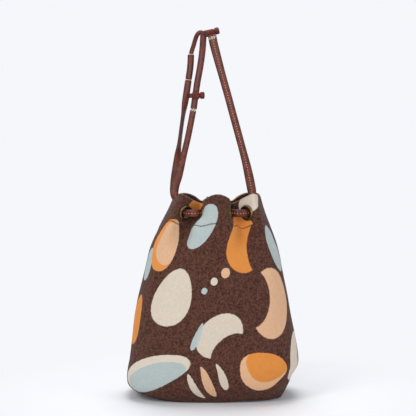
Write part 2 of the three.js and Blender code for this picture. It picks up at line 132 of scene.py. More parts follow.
# Hem: it slopes into the valleys, and stands lower at the back and where the strands leave the mouth
LOBE_X = NECK_CORNERS[0, 0]
VALLEY = np.abs(NECK_CORNERS[1])
BACK_DROP = 14.0
VALLEY_DIP = 18.0
VALLEY_REACH = 46.0
FRONT_LOBE_DROP = 5.0
BACK_LOBE_DROP = 9.0
FRONT_DROP_REACH = (4.0, 22.0)
BACK_DROP_REACH = (11.0, 33.0)
LEFT_DIP = 21.0
RIGHT_DIP = 10.0
SIDE_REACH = 50.0
SIDE_SLOPE = 1.25
LOBE_SLOPE = 2.2
FRONT_LOBE_SPREAD = 0.06
BACK_LOBE_SPREAD = -0.24
LOBE_SPREAD_EDGE = (2.0, 10.0)
LOBE_SPREAD_RISE = (266.0, 282.0)

# Eyelets
EYELET_COUNT = 8
EYELET_RADIUS = 11.0
EYELET_BORE = 6.75
BARREL_RADIUS = 7.6
EYELET_DOME = 2.3
EYELET_SEGMENTS = 56
HOLE_MARGIN = 1.4
HOLE_DEPTH = 9.0
WASHER_FRONT = -2.7
WASHER_THICKNESS = 0.8
ROLL_RADIUS = 8.9
ROLL_BACK = -4.65
ROLL_SOFT = 0.4
WASHER_SOFT = 0.25

# Flat stitched straps of the drawcords
GAP = 0.3
STRAND_Y = 4.15
STRAP_WIDTH = 10.4
STRAP_THICKNESS = 5.2
STRAP_POWER = 2.7
STRAP_SIDES = 40
STRAP_PITCH = 2.5
STRAP_END = 2.0
GROOVE = 0.16
GROOVE_SPREAD = 1.1
STITCH_PITCH = 3.7
STITCH_TILT = math.radians(26)
STITCH_SIZE = (1.25, 0.62, 0.5)
STITCH_START = 6.0
STITCH_SINK = 0.87
FRONT_LEFT_SHARE = 0.83
BACK_LEFT_SHARE = 0.9
LEFT_NARROWING = (304.0, 340.0)
HEM_PRESS = 0.2
HEM_PRESS_START = (280.0, 294.0)
HEM_PRESS_END = (304.0, 350.0)
LACING_PRESS = 0.13
LACING_PRESS_START = (440.0, 496.0)
EDGE_SHARE = 0.74
HEM_CROSSING = 290.0
TURN_OVER_LENGTH = 25.0
BACK_EDGE_TURN = math.radians(80)
EDGE_TURN_HEIGHT = 377.0
EDGE_TURN_SPREAD = 36.0

# Routes of the drawcords and the handle, as in the solids
LEFT_FRONT_STRAND = [
    (-27, 404), (-30.5, 386), (-34.1, 368), (-38.5, 349), (-43.2, 330), (-48, 313), (-52.8, 298),
]
LEFT_BACK_STRAND = [
    (-33.8, 445), (-37, 424), (-40.4, 402), (-43.6, 380), (-46.5, 358), (-49.4, 337), (-51.8, 316),
    (-53.6, 298),
]
RIGHT_STRAND = [
    (53.2, 298), (47.5, 325), (41, 350), (34.2, 375), (27.3, 400), (20.5, 425), (13.4, 450), (6.5, 475),
    (1, 496), (-1.4, 508),
]
MOUTH_RUN = [
    (-53.8, 5, 287), (-51.2, 8.5, 277), (-49, 15, 269.5), (-45.6, 22.5, 265.5), (-41.3, 30.5, 264.2),
    (-37.7, 35.2, 264), (-26.3, 40, 264), (-14.6, 33.6, 264), (-4, 31.8, 264),
    (4.5, 31.5, 264), (13, 31.8, 264), (23.6, 33.6, 264), (35.3, 40, 264), (46.7, 35.2, 264),
    (50.5, 30.5, 264.2), (54.3, 22, 265.5), (56, 14.5, 269.5), (56, 8.5, 277), (55, 5, 287),
]
TAB_ROUTE = [
    (-26.8, -STRAND_Y, 404.3), (-24, -STRAND_Y, 424), (-21.6, -STRAND_Y, 441), (-17.6, -STRAND_Y, 463),
    (-14.4, -3, 486), (-12.9, -0.8, 509),
]
SLEEVE_ROUTE = [
    (-33.8, STRAND_Y, 445.3), (-32, STRAND_Y, 457), (-30.8, STRAND_Y, 469), (-30.4, STRAND_Y, 480.5),
]
TOP_THONG_ROUTE = [
    (-30.4, STRAND_Y, 480.8), (-28.7, 4.1, 486.5), (-26.9, 3.7, 492), (-24.5, 2.6, 500),
    (-22.7, 1.7, 505.2), (-20.4, 0.9, 509), (-17.4, 0.3, 510.8), (-14.2, 0, 510.2), (-10.6, 0, 509.2),
    (-5, 0, 509.9), (2, 0, 511.8),
]
TONGUE_ROUTE = [(-3.1, 0, 507), (-1.7, 0, 502.5), (-0.3, 0, 497.5)]
SIDE_TOGGLE_Y = -10.45
SIDE_TOGGLE_Z = 424.4
SIDE_THONG_ROUTE = [
    (-35, 3.6, SIDE_TOGGLE_Z - 1), (-32.2, 0.2, SIDE_TOGGLE_Z - 1), (-30.4, -5, SIDE_TOGGLE_Z - 0.7),
    (-28.4, -9, SIDE_TOGGLE_Z - 0.3), (-25, SIDE_TOGGLE_Y, SIDE_TOGGLE_Z),
    (-18.4, SIDE_TOGGLE_Y, SIDE_TOGGLE_Z),
]

# Leather pieces of the handle
TAB_WIDTH = 9.0
TAB_THICKNESS = 4.4
SLEEVE_WIDTH = 9.1
SLEEVE_THICKNESS = 6.0
TOP_THONG = 6.3
SIDE_THONG = 4.6
SIDE_THONG_WIDTH = 6.4
SIDE_THONG_THICKNESS = 3.8
TONGUE_WIDTH = 8.0
TONGUE_THICKNESS = 2.2
HANDLE_END = 1.6
HANDLE_PITCH = 1.5
HANDLE_SIDES = 32
TAB_POWER = 2.6
TOP_THONG_POWER = 2.2
SIDE_THONG_POWER = 2.4
TONGUE_POWER = 3.0
EYE_WALL = 1.2
EYE_SOFT = 0.5
EYE_SEGMENTS = 64
TOP_EYE_HEIGHT = 9.6
TOP_EYE_LENGTH = 13.2
SIDE_EYE_HEIGHT = 10.2
SIDE_EYE_LENGTH = 9.6
KNOB_RADIUS = 4.9
KNOB_LENGTH = 6.8
KNOB_ROUND = 2.4
KNOB_SOCKET = 2.0
KNOB_SEGMENTS = 64
COIL_PITCH = 1.5
COIL_DEPTH = 0.45
COIL_SPREAD = 0.16
LAP_STEP = 0.05
LAP_START = (0.0, 0.12)
LAP_END = (0.985, 1.0)

# Thread bindings: the place across and the tilt in degrees of each lace, and half sizes
THREAD = 0.7
THREAD_STEPS = 40
LOWER_BAND = (7.8, 6.6)
UPPER_BAND = (7.6, 6.6)
BAND_HEIGHT = 1.6
BAND_TURNS = 2
TOP_LACING_WIDTH = 12.4
TOP_LACING_BACK = 4.6
LACING_MARGIN = 0.8
TOP_LACES = [(-4.2, 28), (-1.8, 28), (0.6, 28), (3.2, 28)]
TOP_LACE_SIZE = (3.4, 0.7, 0.5)
LOWER_LACES = [(-2.0, -34), (0.9, -34), (-0.9, 34), (2.0, 34)]
LOWER_LACE_SIZE = (3.6, 0.6, 0.6)

# Colours as they look in plain light
GROUND_DARK = (50, 28, 22)
GROUND_LIGHT = (104, 66, 53)
WORN_CANVAS = (150, 120, 106)
CREAM = (216, 203, 186)
ORANGE = (222, 142, 66)
PEACH = (222, 178, 142)
PALE_BLUE = (180, 191, 190)
LINING_DARK = (38, 24, 20)
LINING_LIGHT = (66, 43, 36)
STRAP_BROWN = (114, 54, 38)
STRAP_DARK = (80, 32, 22)
# Painted shade: near-black brown that the leather turns to where it faces away from the view
PAINTED_RIM_SHADE_BROWN = (40, 17, 12)
# Darker leather of the straps' outer sides: edge paint, and painted shade where the rounded sides turn from
# the light
EDGE_PAINT_AND_SHADE_BROWN = (90, 50, 41)
EDGE_PAINT_AND_SHADE_DARK = (62, 33, 27)
THONG_BROWN = (106, 42, 30)
THONG_DARK = (70, 27, 20)
BINDING_PALE = (216, 206, 184)
SEAM_PINK = (206, 158, 134)
HEM_BROWN = (74, 46, 38)
BRASS = (118, 98, 66)
BRASS_DARK = (66, 53, 36)
BACKDROP_PALE = (245, 247, 251)
FLOOR_PALE = (226, 227, 231)

# Canvas: thread pitch, and how wide its sewn lines and its worn edge are
CANVAS_PITCH = 1.9
LINING_PITCH = 1.6
SEAM_WIDTH = 1.5
WORN_EDGE = (0.8, 3.2)

# Print of the front and the back: across from the middle, up from the base, turn in degrees,
# half width, half height, egg shape, bite of a moon (none at NO_BITE), colour
NO_BITE = 5.0
PRINT_REPEAT = 320.0
PRINT = [
    (58, 236, 24, 34, 47, 0.10, 1.12, ORANGE),
    (-64, 168, 18, 31, 40, 0.16, NO_BITE, CREAM),
    (92, 146, 196, 36, 50, 0.05, 1.0, PEACH),
    (-84, 62, 76, 25, 52, 0.14, NO_BITE, PALE_BLUE),
    (70, 52, -62, 27, 37, 0.18, NO_BITE, ORANGE),
    (8, 108, 58, 28, 36, 0.00, 1.08, CREAM),
    (-98, 246, -14, 25, 40, 0.15, NO_BITE, PEACH),
    (-24, 262, 40, 22, 34, 0.12, NO_BITE, PALE_BLUE),
    (126, 222, -10, 20, 34, -0.12, NO_BITE, PALE_BLUE),
    (-134, 136, 8, 17, 36, 0.20, NO_BITE, ORANGE),
    (134, 66, 12, 22, 36, 0.00, 0.95, CREAM),
    (-22, 36, -30, 4.5, 25, 0.35, NO_BITE, CREAM),
    (-4, 42, -30, 5.5, 29, 0.35, NO_BITE, PEACH),
    (15, 48, -30, 4.5, 25, 0.35, NO_BITE, CREAM),
    (-14, 172, 0, 4.5, 4.5, 0.0, NO_BITE, PALE_BLUE),
    (1, 184, 0, 5.5, 5.5, 0.0, NO_BITE, CREAM),
    (19, 194, 0, 7.0, 7.0, 0.0, NO_BITE, PEACH),
    (-24, 110, 24, 4.5, 20, 0.30, NO_BITE, PALE_BLUE),
    (-128, 216, 12, 13, 24, 0.10, NO_BITE, PALE_BLUE),
    (98, 292, 70, 14, 26, 0.10, NO_BITE, CREAM),
    (-66, 304, 60, 13, 24, 0.10, NO_BITE, ORANGE),
    (70, 52, -62, 27, 37, 0.18, 0.34, PEACH),
    (-84, 62, 76, 25, 52, 0.14, 0.3, CREAM),
    (-98, 246, -14, 25, 40, 0.15, 0.36, ORANGE),
]


# Paths and sections
def unit(vectors):
    return vectors / np.linalg.norm(vectors, axis=-1, keepdims=True)


def smooth_share(values, low, high):
    share = np.clip((values - low) / (high - low), 0, 1)
    return share * share * (3 - 2 * share)


def route_curve(points, steps=24):
    """Follows the same centripetal curve through the points as the solids do, in short steps."""
    knots = np.array(points, float)
    knots = np.vstack([2 * knots[0] - knots[1], knots, 2 * knots[-1] - knots[-2]])
    spans = np.sqrt(np.linalg.norm(np.diff(knots, axis=0), axis=1))
    t = np.linspace(0, 1, steps, endpoint=False)[:, None]
    curve = []
    for i in range(1, len(knots) - 2):
        before, start, end, after = knots[i - 1:i + 3]
        first, span, last = spans[i - 1:i + 2]
        leave = (start - before) / first - (end - before) / (first + span) + (end - start) / span
        arrive = (end - start) / span - (after - start) / (span + last) + (after - end) / last
        rise = end - start
        cubic = (leave + arrive) * span - 2 * rise
        square = 3 * rise - (2 * leave + arrive) * span
        curve.append(start + (leave * span + (square + cubic * t) * t) * t)
    return np.vstack(curve + [knots[-2:-1]])


def travelled(curve):
    return np.concatenate([[0], np.cumsum(np.linalg.norm(np.diff(curve, axis=0), axis=1))])


def at_distances(curve, distances):
    lengths = travelled(curve)
    return np.stack([np.interp(distances, lengths, curve[:, axis]) for axis in range(3)], axis=1)


def even_outline(outline, count):
    """Spaces points evenly around a closed outline, from its first point."""
    closed = np.vstack([outline, outline[:1]])
    lengths = travelled(closed)
    places = np.arange(count) * lengths[-1] / count
    return np.stack([np.interp(places, lengths, closed[:, axis]) for axis in range(2)], axis=1)


def rounded_box(width, depth, power, count):
    angle = np.linspace(0, 2 * np.pi, count, endpoint=False) - np.pi / 2
    across = np.sign(np.cos(angle)) * np.abs(np.cos(angle)) ** (2 / power)
    through = np.sign(np.sin(angle)) * np.abs(np.sin(angle)) ** (2 / power)
    return np.stack([width / 2 * across, depth / 2 * through], axis=1)


# Pieces
def add_piece(name, points, faces, materials, replaced=()):
    mesh = bpy.data.meshes.new(name)
    mesh.from_pydata((np.asarray(points) * MM).tolist(), [], faces)
    for material in materials:
        mesh.materials.append(material)
    mesh.polygons.foreach_set("use_smooth", [True] * len(mesh.polygons))
    mesh.update()
    piece = bpy.data.objects.new(name, mesh)
    bpy.context.scene.collection.objects.link(piece)
    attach(piece, BODY)
    if replaced:
        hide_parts(*replaced)
    return piece


def ring_faces(rings, columns, closed=False):
    """Quads between rings of points, which run anticlockwise around the way ahead."""
    faces = []
    for ring in range(rings if closed else rings - 1):
        after = (ring + 1) % rings
        for i in range(columns):
            j = (i + 1) % columns
            faces.append((ring * columns + i, ring * columns + j, after * columns + j, after * columns + i))
    return faces


def end_caps(rings, columns):
    last = (rings - 1) * columns
    return [tuple(reversed(range(columns))), tuple(range(last, last + columns))]


def path_frames(path, facing):
    ahead = unit(np.gradient(path, axis=0))
    through = unit(facing - ahead * np.sum(facing * ahead, axis=1, keepdims=True))
    return ahead, np.cross(through, ahead), through


def sweep(path, across, through, outlines):
    rings = path[:, None] + outlines[..., :1] * across[:, None] + outlines[..., 1:] * through[:, None]
    count, columns = rings.shape[:2]
    return rings.reshape(-1, 3), ring_faces(count, columns) + end_caps(count, columns)


def end_rounded_distances(length, round_length, pitch):
    ease = round_length * np.array([0, 0.06, 0.22, 0.5])
    middle = np.linspace(round_length, length - round_length, max(int(length / pitch), 2))
    return np.concatenate([ease, middle, length - ease[::-1]])


def end_scale(distances, length, round_length):
    near_end = np.clip(np.minimum(distances, length - distances) / round_length, 0, 1)
    return 0.45 + 0.55 * np.sqrt(1 - (1 - near_end) ** 2)


def lathe(profile, segments, origin, axis):
    """Turns a closed profile of (radius, height) around an axis."""
    turn = Vector((0, 0, 1)).rotation_difference(Vector(axis)).to_matrix()
    angle = np.linspace(0, 2 * np.pi, segments, endpoint=False)
    radius, height = np.array(profile, float).T
    local = np.stack([
        np.outer(np.cos(angle), radius),
        np.outer(np.sin(angle), radius),
        np.outer(np.ones(segments), height),
    ], axis=-1)
    points = local.reshape(-1, 3) @ np.array(turn).T + np.asarray(origin)
    return points, ring_faces(segments, len(profile), closed=True)


# Shader nodes
def shade(colour):
    """Turns a screen colour into the light values that a shader takes."""
    parts = [value / 255 for value in colour]
    return tuple(p / 12.92 if p <= 0.04045 else ((p + 0.055) / 1.055) ** 2.4 for p in parts) + (1.0,)


class Nodes:
    """Adds and links the nodes of one material or group."""

    def __init__(self, tree):
        self.tree = tree

    def feed(self, socket, value):
        if isinstance(value, bpy.types.NodeSocket):
            self.tree.links.new(value, socket)
        else:
            socket.default_value = value

    def add(self, kind, inputs=None, **settings):
        node = self.tree.nodes.new("ShaderNode" + kind)
        for name, value in settings.items():
            setattr(node, name, value)
        for name, value in (inputs or {}).items():
            self.feed(node.inputs[name], value)
        return node

    def math(self, operation, *values):
        node = self.add("Math", operation=operation)
        for socket, value in zip(node.inputs, values):
            self.feed(socket, value)
        return node.outputs[0]

    def vector(self, operation, *values):
        node = self.add("VectorMath", operation=operation)
        for socket, value in zip(node.inputs, values):
            self.feed(socket, value)
        return node.outputs[0]

    def mix(self, share, first, second, blend="MIX"):
        node = self.add("Mix", data_type="RGBA", blend_type=blend)
        self.feed(node.inputs[0], share)
        self.feed(node.inputs[6], first)
        self.feed(node.inputs[7], second)
        return node.outputs[2]

    def ease(self, value, low, high, start=0.0, end=1.0):
        inputs = {"Value": value, "From Min": low, "From Max": high, "To Min": start, "To Max": end}
        return self.add("MapRange", inputs, interpolation_type="SMOOTHSTEP").outputs[0]

    def noise(self, vector, scale, detail=3.0, roughness=0.5):
        inputs = {"Vector": vector, "Scale": scale, "Detail": detail, "Roughness": roughness}
        return self.add("TexNoise", inputs).outputs["Fac"]

    def place(self, group, **inputs):
        node = self.tree.nodes.new("ShaderNodeGroup")
        node.node_tree = group
        for name, value in inputs.items():
            self.feed(node.inputs[name], value)
        return node.outputs

    def bump(self, height, strength, distance):
        inputs = {"Height": height, "Strength": strength, "Distance": distance}
        return self.add("Bump", inputs).outputs["Normal"]


def new_group(name, inputs, outputs):
    tree = bpy.data.node_groups.new(name, "ShaderNodeTree")
    for socket, kind in inputs.items():
        tree.interface.new_socket(socket, in_out="INPUT", socket_type="NodeSocket" + kind)
    for socket, kind in outputs.items():
        tree.interface.new_socket(socket, in_out="OUTPUT", socket_type="NodeSocket" + kind)
    nodes = Nodes(tree)
    given = tree.nodes.new("NodeGroupInput").outputs
    result = tree.nodes.new("NodeGroupOutput").inputs
    return tree, nodes, given, result


def new_material(name, roughness, **constants):
    material = bpy.data.materials.new(name)
    material.use_nodes = True
    shader = material.node_tree.nodes["Principled BSDF"]
    shader.inputs["Roughness"].default_value = roughness
    for socket, value in constants.items():
        shader.inputs[socket.replace("_", " ")].default_value = value
    return material, Nodes(material.node_tree), shader


def canvas_weave_group():
    """Plain weave over the cloth's own coordinates: thread relief, and a tint for each thread."""
    tree, nodes, given, result = new_group(
        "canvas_weave", {"Cloth": "Vector", "Pitch": "Float"}, {"Height": "Float", "Tint": "Float"},
    )
    drift = nodes.noise(given["Cloth"], 90.0, 2.0)
    per_pitch = nodes.math("DIVIDE", 1.0, given["Pitch"])
    threads = nodes.add("VectorMath", operation="SCALE")
    nodes.feed(threads.inputs[0], given["Cloth"])
    nodes.feed(threads.inputs["Scale"], per_pitch)
    split = nodes.add("SeparateXYZ", {"Vector": threads.outputs[0]})
    warp = nodes.math("ADD", split.outputs["X"], nodes.math("MULTIPLY", drift, 1.6))
    weft = nodes.math("ADD", split.outputs["Y"], nodes.math("MULTIPLY", drift, 1.3))
    warp_wave = nodes.math("SINE", nodes.math("MULTIPLY", warp, math.pi))
    weft_wave = nodes.math("SINE", nodes.math("MULTIPLY", weft, math.pi))
    over = nodes.math("GREATER_THAN", nodes.math("MULTIPLY", warp_wave, weft_wave), 0.0)
    warp_round = nodes.math("ABSOLUTE", warp_wave)
    weft_round = nodes.math("ABSOLUTE", weft_wave)
    warp_top = nodes.math("MULTIPLY", warp_round, nodes.math("POWER", weft_round, 0.4))
    weft_top = nodes.math("MULTIPLY", weft_round, nodes.math("POWER", warp_round, 0.4))
    height = nodes.add("Mix", data_type="FLOAT")
    nodes.feed(height.inputs[0], over)
    nodes.feed(height.inputs[2], weft_top)
    nodes.feed(height.inputs[3], warp_top)
    knot = nodes.vector("FLOOR", nodes.add("CombineXYZ", {"X": warp, "Y": weft}).outputs[0])
    spot = nodes.add("TexWhiteNoise", {"Vector": knot}, noise_dimensions="2D").outputs["Value"]
    cloud = nodes.ease(nodes.noise(given["Cloth"], 170.0, 3.0), 0.3, 0.7)
    nodes.feed(result["Height"], nodes.math("MULTIPLY_ADD", spot, 0.5, height.outputs[0]))
    nodes.feed(result["Tint"], nodes.math("MULTIPLY_ADD", cloud, 0.22, nodes.math("MULTIPLY", spot, 0.78)))
    return tree


def print_shape_group():
    """One printed shape: a pebble or, with a bite out of its side, a moon."""
    tree, nodes, given, result = new_group(
        "print_shape",
        {
            "Cloth": "Vector", "Centre": "Vector", "Turn": "Float",
            "Half": "Vector", "Egg": "Float", "Bite": "Float",
        },
        {"Mask": "Float"},
    )
    offset = nodes.vector("SUBTRACT", given["Cloth"], given["Centre"])
    turned = nodes.add("VectorRotate", {"Vector": offset, "Angle": given["Turn"]}, rotation_type="Z_AXIS")
    local = nodes.vector("DIVIDE", turned.outputs[0], given["Half"])
    split = nodes.add("SeparateXYZ", {"Vector": local})
    up = split.outputs["Y"]
    widen = nodes.math("MULTIPLY_ADD", up, given["Egg"], 1.0)
    across = nodes.math("MULTIPLY", split.outputs["X"], widen)

    def reach(sideways):
        across_square = nodes.math("MULTIPLY", sideways, sideways)
        up_square = nodes.math("MULTIPLY", up, up)
        return nodes.math("SQRT", nodes.math("ADD", across_square, up_square))

    inside = nodes.ease(reach(across), 1.02, 0.98)
    uncut = nodes.ease(reach(nodes.math("SUBTRACT", across, given["Bite"])), 0.85, 0.89)
    nodes.feed(result["Mask"], nodes.math("MULTIPLY", inside, uncut))
    return tree


def leather_grain_group():
    """Pores and creases of smooth leather, and its cloudy tint."""
    tree, nodes, given, result = new_group(
        "leather_grain", {"Place": "Vector", "Pores": "Float"}, {"Height": "Float", "Cloud": "Float"},
    )
    cells = {"Vector": given["Place"], "Scale": given["Pores"]}
    pores = nodes.add("TexVoronoi", cells, feature="SMOOTH_F1")
    cloud = nodes.noise(given["Place"], 130.0, 4.0, 0.6)
    nodes.feed(result["Height"], nodes.math("ADD", pores.outputs["Distance"], cloud))
    nodes.feed(result["Cloud"], cloud)
    return tree


def handling_wear_group():
    """Rubbed edges: raised edges that hands and cloth have polished, broken up by noise."""
    tree, nodes, given, result = new_group("handling_wear", {"Place": "Vector"}, {"Mask": "Float"})
    raised = nodes.ease(nodes.add("NewGeometry").outputs["Pointiness"], 0.5, 0.6)
    patchy = nodes.ease(nodes.noise(given["Place"], 210.0), 0.35, 0.65)
    nodes.feed(result["Mask"], nodes.math("MULTIPLY", raised, patchy))
    return tree


# Materials
def object_place(nodes):
    return nodes.add("TexCoord").outputs["Object"]


def near(nodes, value, place, width):
    """Mask of a narrow line where the value passes the place."""
    away = nodes.math("ABSOLUTE", nodes.math("SUBTRACT", value, place * MM))
    return nodes.ease(away, 0.0, width * MM, 1.0, 0.0)


def printed_canvas(weave, shape):
    material, nodes, shader = new_material(
        "printed_canvas", 0.92, Sheen_Weight=0.04, Sheen_Roughness=0.5, Specular_IOR_Level=0.2,
    )
    cloth = nodes.add("UVMap", uv_map="cloth").outputs["UV"]
    split = nodes.add("SeparateXYZ", {"Vector": cloth})
    half = PRINT_REPEAT / 2 * MM
    across = nodes.math("WRAP", split.outputs["X"], half, -half)
    panel = nodes.add("CombineXYZ", {"X": across, "Y": split.outputs["Y"]}).outputs[0]
    ragged = nodes.add("TexNoise", {"Vector": panel, "Scale": 240.0, "Detail": 2.0}).outputs["Color"]
    nudge = nodes.add("VectorMath", operation="SCALE")
    nodes.feed(nudge.inputs[0], nodes.vector("SUBTRACT", ragged, (0.5, 0.5, 0.5)))
    nudge.inputs["Scale"].default_value = 1.6 * MM
    inked = nodes.vector("ADD", panel, nudge.outputs[0])
    threads = nodes.place(weave, Cloth=cloth, Pitch=CANVAS_PITCH * MM)
    colour = nodes.mix(threads["Tint"], shade(GROUND_DARK), shade(GROUND_LIGHT))
    cover = nodes.ease(threads["Tint"], 0.0, 1.0, 0.9, 0.99)
    for across_place, up, turn, half_width, half_height, egg, bite, ink in PRINT:
        mask = nodes.place(
            shape, Cloth=inked, Centre=(across_place * MM, up * MM, 0), Turn=math.radians(turn),
            Half=(half_width * MM, half_height * MM, 1), Egg=egg, Bite=bite,
        )["Mask"]
        colour = nodes.mix(nodes.math("MULTIPLY", mask, cover), colour, shade(ink))
    hem_depth = nodes.add("Attribute", attribute_name="hem_depth").outputs["Fac"]
    hem_line = near(nodes, hem_depth, HEM_FOLD, SEAM_WIDTH)
    side_line = near(nodes, nodes.math("ABSOLUTE", across), PRINT_REPEAT / 2, SEAM_WIDTH)
    seam = nodes.math("MAXIMUM", hem_line, side_line)
    colour = nodes.mix(nodes.math("MULTIPLY", seam, 0.6), colour, shade(GROUND_DARK))
    low, high = WORN_EDGE
    worn = nodes.math("MULTIPLY", nodes.ease(hem_depth, low * MM, high * MM, 1.0, 0.0), threads["Tint"])
    nodes.feed(shader.inputs["Base Color"], nodes.mix(worn, colour, shade(WORN_CANVAS)))
    relief = nodes.math("MULTIPLY_ADD", seam, -2.5, threads["Height"])
    nodes.feed(shader.inputs["Normal"], nodes.bump(relief, 0.6, 0.45 * MM))
    return material


def lining_canvas(weave):
    material, nodes, shader = new_material("lining_canvas", 0.95, Sheen_Weight=0.04)
    cloth = nodes.add("UVMap", uv_map="cloth").outputs["UV"]
    threads = nodes.place(weave, Cloth=cloth, Pitch=LINING_PITCH * MM)
    colour = nodes.mix(threads["Tint"], shade(LINING_DARK), shade(LINING_LIGHT))
    nodes.feed(shader.inputs["Base Color"], colour)
    nodes.feed(shader.inputs["Normal"], nodes.bump(threads["Height"], 0.5, 0.35 * MM))
    return material


def leather(name, grain, wear, colour, dark, pores, gloss, coat):
    material, nodes, shader = new_material(
        name, gloss, Coat_Weight=coat, Coat_Roughness=0.25, Specular_IOR_Level=0.24,
    )
    place = object_place(nodes)
    skin = nodes.place(grain, Place=place, Pores=pores)
    rubbed = nodes.place(wear, Place=place)["Mask"]
    body = nodes.mix(nodes.ease(skin["Cloud"], 0.35, 0.65), shade(dark), shade(colour))
    pale = tuple(min(1.0, 1.6 * part) for part in shade(colour)[:3]) + (1.0,)
    worn = nodes.mix(nodes.math("MULTIPLY", rubbed, 0.6), body, pale)
    # Painted shade: the colour darkens towards a near-black brown where the surface turns away from the
    # view
    turned = nodes.add("LayerWeight", {"Blend": 0.5}).outputs["Facing"]
    rim_shade = nodes.ease(turned, 0.45, 0.95, 0.0, 0.7)
    nodes.feed(shader.inputs["Base Color"], nodes.mix(rim_shade, worn, shade(PAINTED_RIM_SHADE_BROWN)))
    roughness = nodes.ease(skin["Cloud"], 0.3, 0.7, gloss - 0.06, gloss + 0.12)
    nodes.feed(shader.inputs["Roughness"], roughness)
    nodes.feed(shader.inputs["Normal"], nodes.bump(skin["Height"], 0.16, 0.2 * MM))
    return material


def waxed_thread(name, colour):
    material, nodes, shader = new_material(name, 0.7, Sheen_Weight=0.1)
    place = object_place(nodes)
    fibre = nodes.noise(place, 1500.0, 2.0)
    dirt = nodes.ease(nodes.noise(place, 160.0), 0.35, 0.7)
    dark = tuple(0.62 * part for part in shade(colour)[:3]) + (1.0,)
    share = nodes.math("MULTIPLY", nodes.math("ADD", fibre, dirt), 0.5)
    nodes.feed(shader.inputs["Base Color"], nodes.mix(share, shade(colour), dark))
    nodes.feed(shader.inputs["Normal"], nodes.bump(fibre, 0.5, 0.3 * MM))
    return material


def aged_brass(wear):
    material, nodes, shader = new_material("aged_brass", 0.4, Metallic=1.0)
    place = object_place(nodes)
    patina = nodes.ease(nodes.noise(place, 240.0, 5.0, 0.65), 0.35, 0.68)
    rubbed = nodes.place(wear, Place=place)["Mask"]
    metal = nodes.mix(patina, shade(BRASS), shade(BRASS_DARK))
    bright = tuple(min(1.0, 1.5 * part) for part in shade(BRASS)[:3]) + (1.0,)
    nodes.feed(shader.inputs["Base Color"], nodes.mix(rubbed, metal, bright))
    nodes.feed(shader.inputs["Roughness"], nodes.ease(patina, 0.0, 1.0, 0.3, 0.52))
    scratches = nodes.noise(place, 900.0, 3.0)
    nodes.feed(shader.inputs["Normal"], nodes.bump(scratches, 0.15, 0.1 * MM))
    return material


def seen_rays(nodes):
    """Mask of the rays that show the background: straight, mirrored and through glass."""
    rays = nodes.add("LightPath").outputs
    mirrored = nodes.math("MAXIMUM", rays["Is Glossy Ray"], rays["Is Transmission Ray"])
    return nodes.math("MAXIMUM", rays["Is Camera Ray"], mirrored)


def pale_floor():
    """A pale floor that takes the shadow near the pouch and fades into the even background further out."""
    material, nodes, shader = new_material("pale_floor", 0.85)
    place = object_place(nodes)
    mottle = nodes.ease(nodes.noise(place, 6.0), 0.3, 0.7, 0.98, 1.0)
    grey = nodes.add("CombineColor", {"Red": mottle, "Green": mottle, "Blue": mottle}).outputs[0]
    nodes.feed(shader.inputs["Base Color"], nodes.mix(1.0, shade(FLOOR_PALE), grey, "MULTIPLY"))
    distance = nodes.add("VectorMath", operation="LENGTH")
    nodes.feed(distance.inputs[0], place)
    far = nodes.ease(distance.outputs["Value"], *SHADOW_REACH)
    glow = nodes.add("Emission", {"Color": shade(BACKDROP_PALE), "Strength": 1.0})
    surface = nodes.add("MixShader", {0: nodes.math("MULTIPLY", far, seen_rays(nodes))})
    nodes.feed(surface.inputs[1], shader.outputs["BSDF"])
    nodes.feed(surface.inputs[2], glow.outputs["Emission"])
    output = material.node_tree.nodes["Material Output"]
    nodes.feed(output.inputs["Surface"], surface.outputs["Shader"])
    return material


# Camera, floor and light
def add_camera():
    data = bpy.data.cameras.new("view_camera")
    data.lens = data.sensor_width * VIEW_DISTANCE / (VIEW_PIXELS * VIEW_PIXEL_SIZE)
    camera = bpy.data.objects.new("view_camera", data)
    towards = Vector((0, math.cos(VIEW_PITCH), -math.sin(VIEW_PITCH)))
    camera.location = (Vector(VIEW_TARGET) - VIEW_DISTANCE * towards) * MM
    camera.rotation_euler = (math.pi / 2 - VIEW_PITCH, 0, 0)
    bpy.context.scene.collection.objects.link(camera)
    bpy.context.scene.camera = camera


def add_floor():
    half = FLOOR_HALF * MM
    mesh = bpy.data.meshes.new("floor")
    corners = [(-half, -half, 0), (half, -half, 0), (half, half, 0), (-half, half, 0)]
    mesh.from_pydata(corners, [], [(0, 1, 2, 3)])
    mesh.materials.append(pale_floor())
    floor = bpy.data.objects.new("floor", mesh)
    bpy.context.scene.collection.objects.link(floor)


def add_world():
    """Even light from all around, and the pale background where it is seen."""
    world = bpy.data.worlds.new("studio_world")
    world.use_nodes = True
    nodes = Nodes(world.node_tree)
    background = world.node_tree.nodes["Background"]
    seen = seen_rays(nodes)
    nodes.feed(background.inputs["Color"], nodes.mix(seen, SKY, shade(BACKDROP_PALE)))
    strength = nodes.math("MULTIPLY_ADD", seen, 1 - SKY_STRENGTH, SKY_STRENGTH)
    nodes.feed(background.inputs["Strength"], strength)
    bpy.context.scene.world = world


def add_softbox(name, place, target, size, watts):
    data = bpy.data.lights.new(name, "AREA")
    data.shape = "DISK"
    data.size = size
    data.energy = watts
    lamp = bpy.data.objects.new(name, data)
    lamp.location = place
    lamp.rotation_euler = (Vector(target) - Vector(place)).to_track_quat("-Z", "Y").to_euler()
    bpy.context.scene.collection.objects.link(lamp)


def add_light():
    add_world()
    for softbox in SOFTBOXES:
        add_softbox(*softbox)


# Drawcords
def strap_section():
    """Flat strap with a shallow groove along the face that is stitched."""
    outline = rounded_box(STRAP_WIDTH, STRAP_THICKNESS, STRAP_POWER, STRAP_SIDES)
    stitched = outline[:, 1] > 0
    outline[stitched, 1] *= 1 - GROOVE * np.exp(-(outline[stitched, 0] / GROOVE_SPREAD) ** 2)
    return outline


def drawcord_route(left_strand, side):
    left = [(x, side * STRAND_Y, z) for x, z in left_strand]
    mouth = [(x, side * y, z) for x, y, z in MOUTH_RUN]
    right = [(x, side * STRAND_Y, z) for x, z in RIGHT_STRAND]
    return route_curve(left + mouth + right)


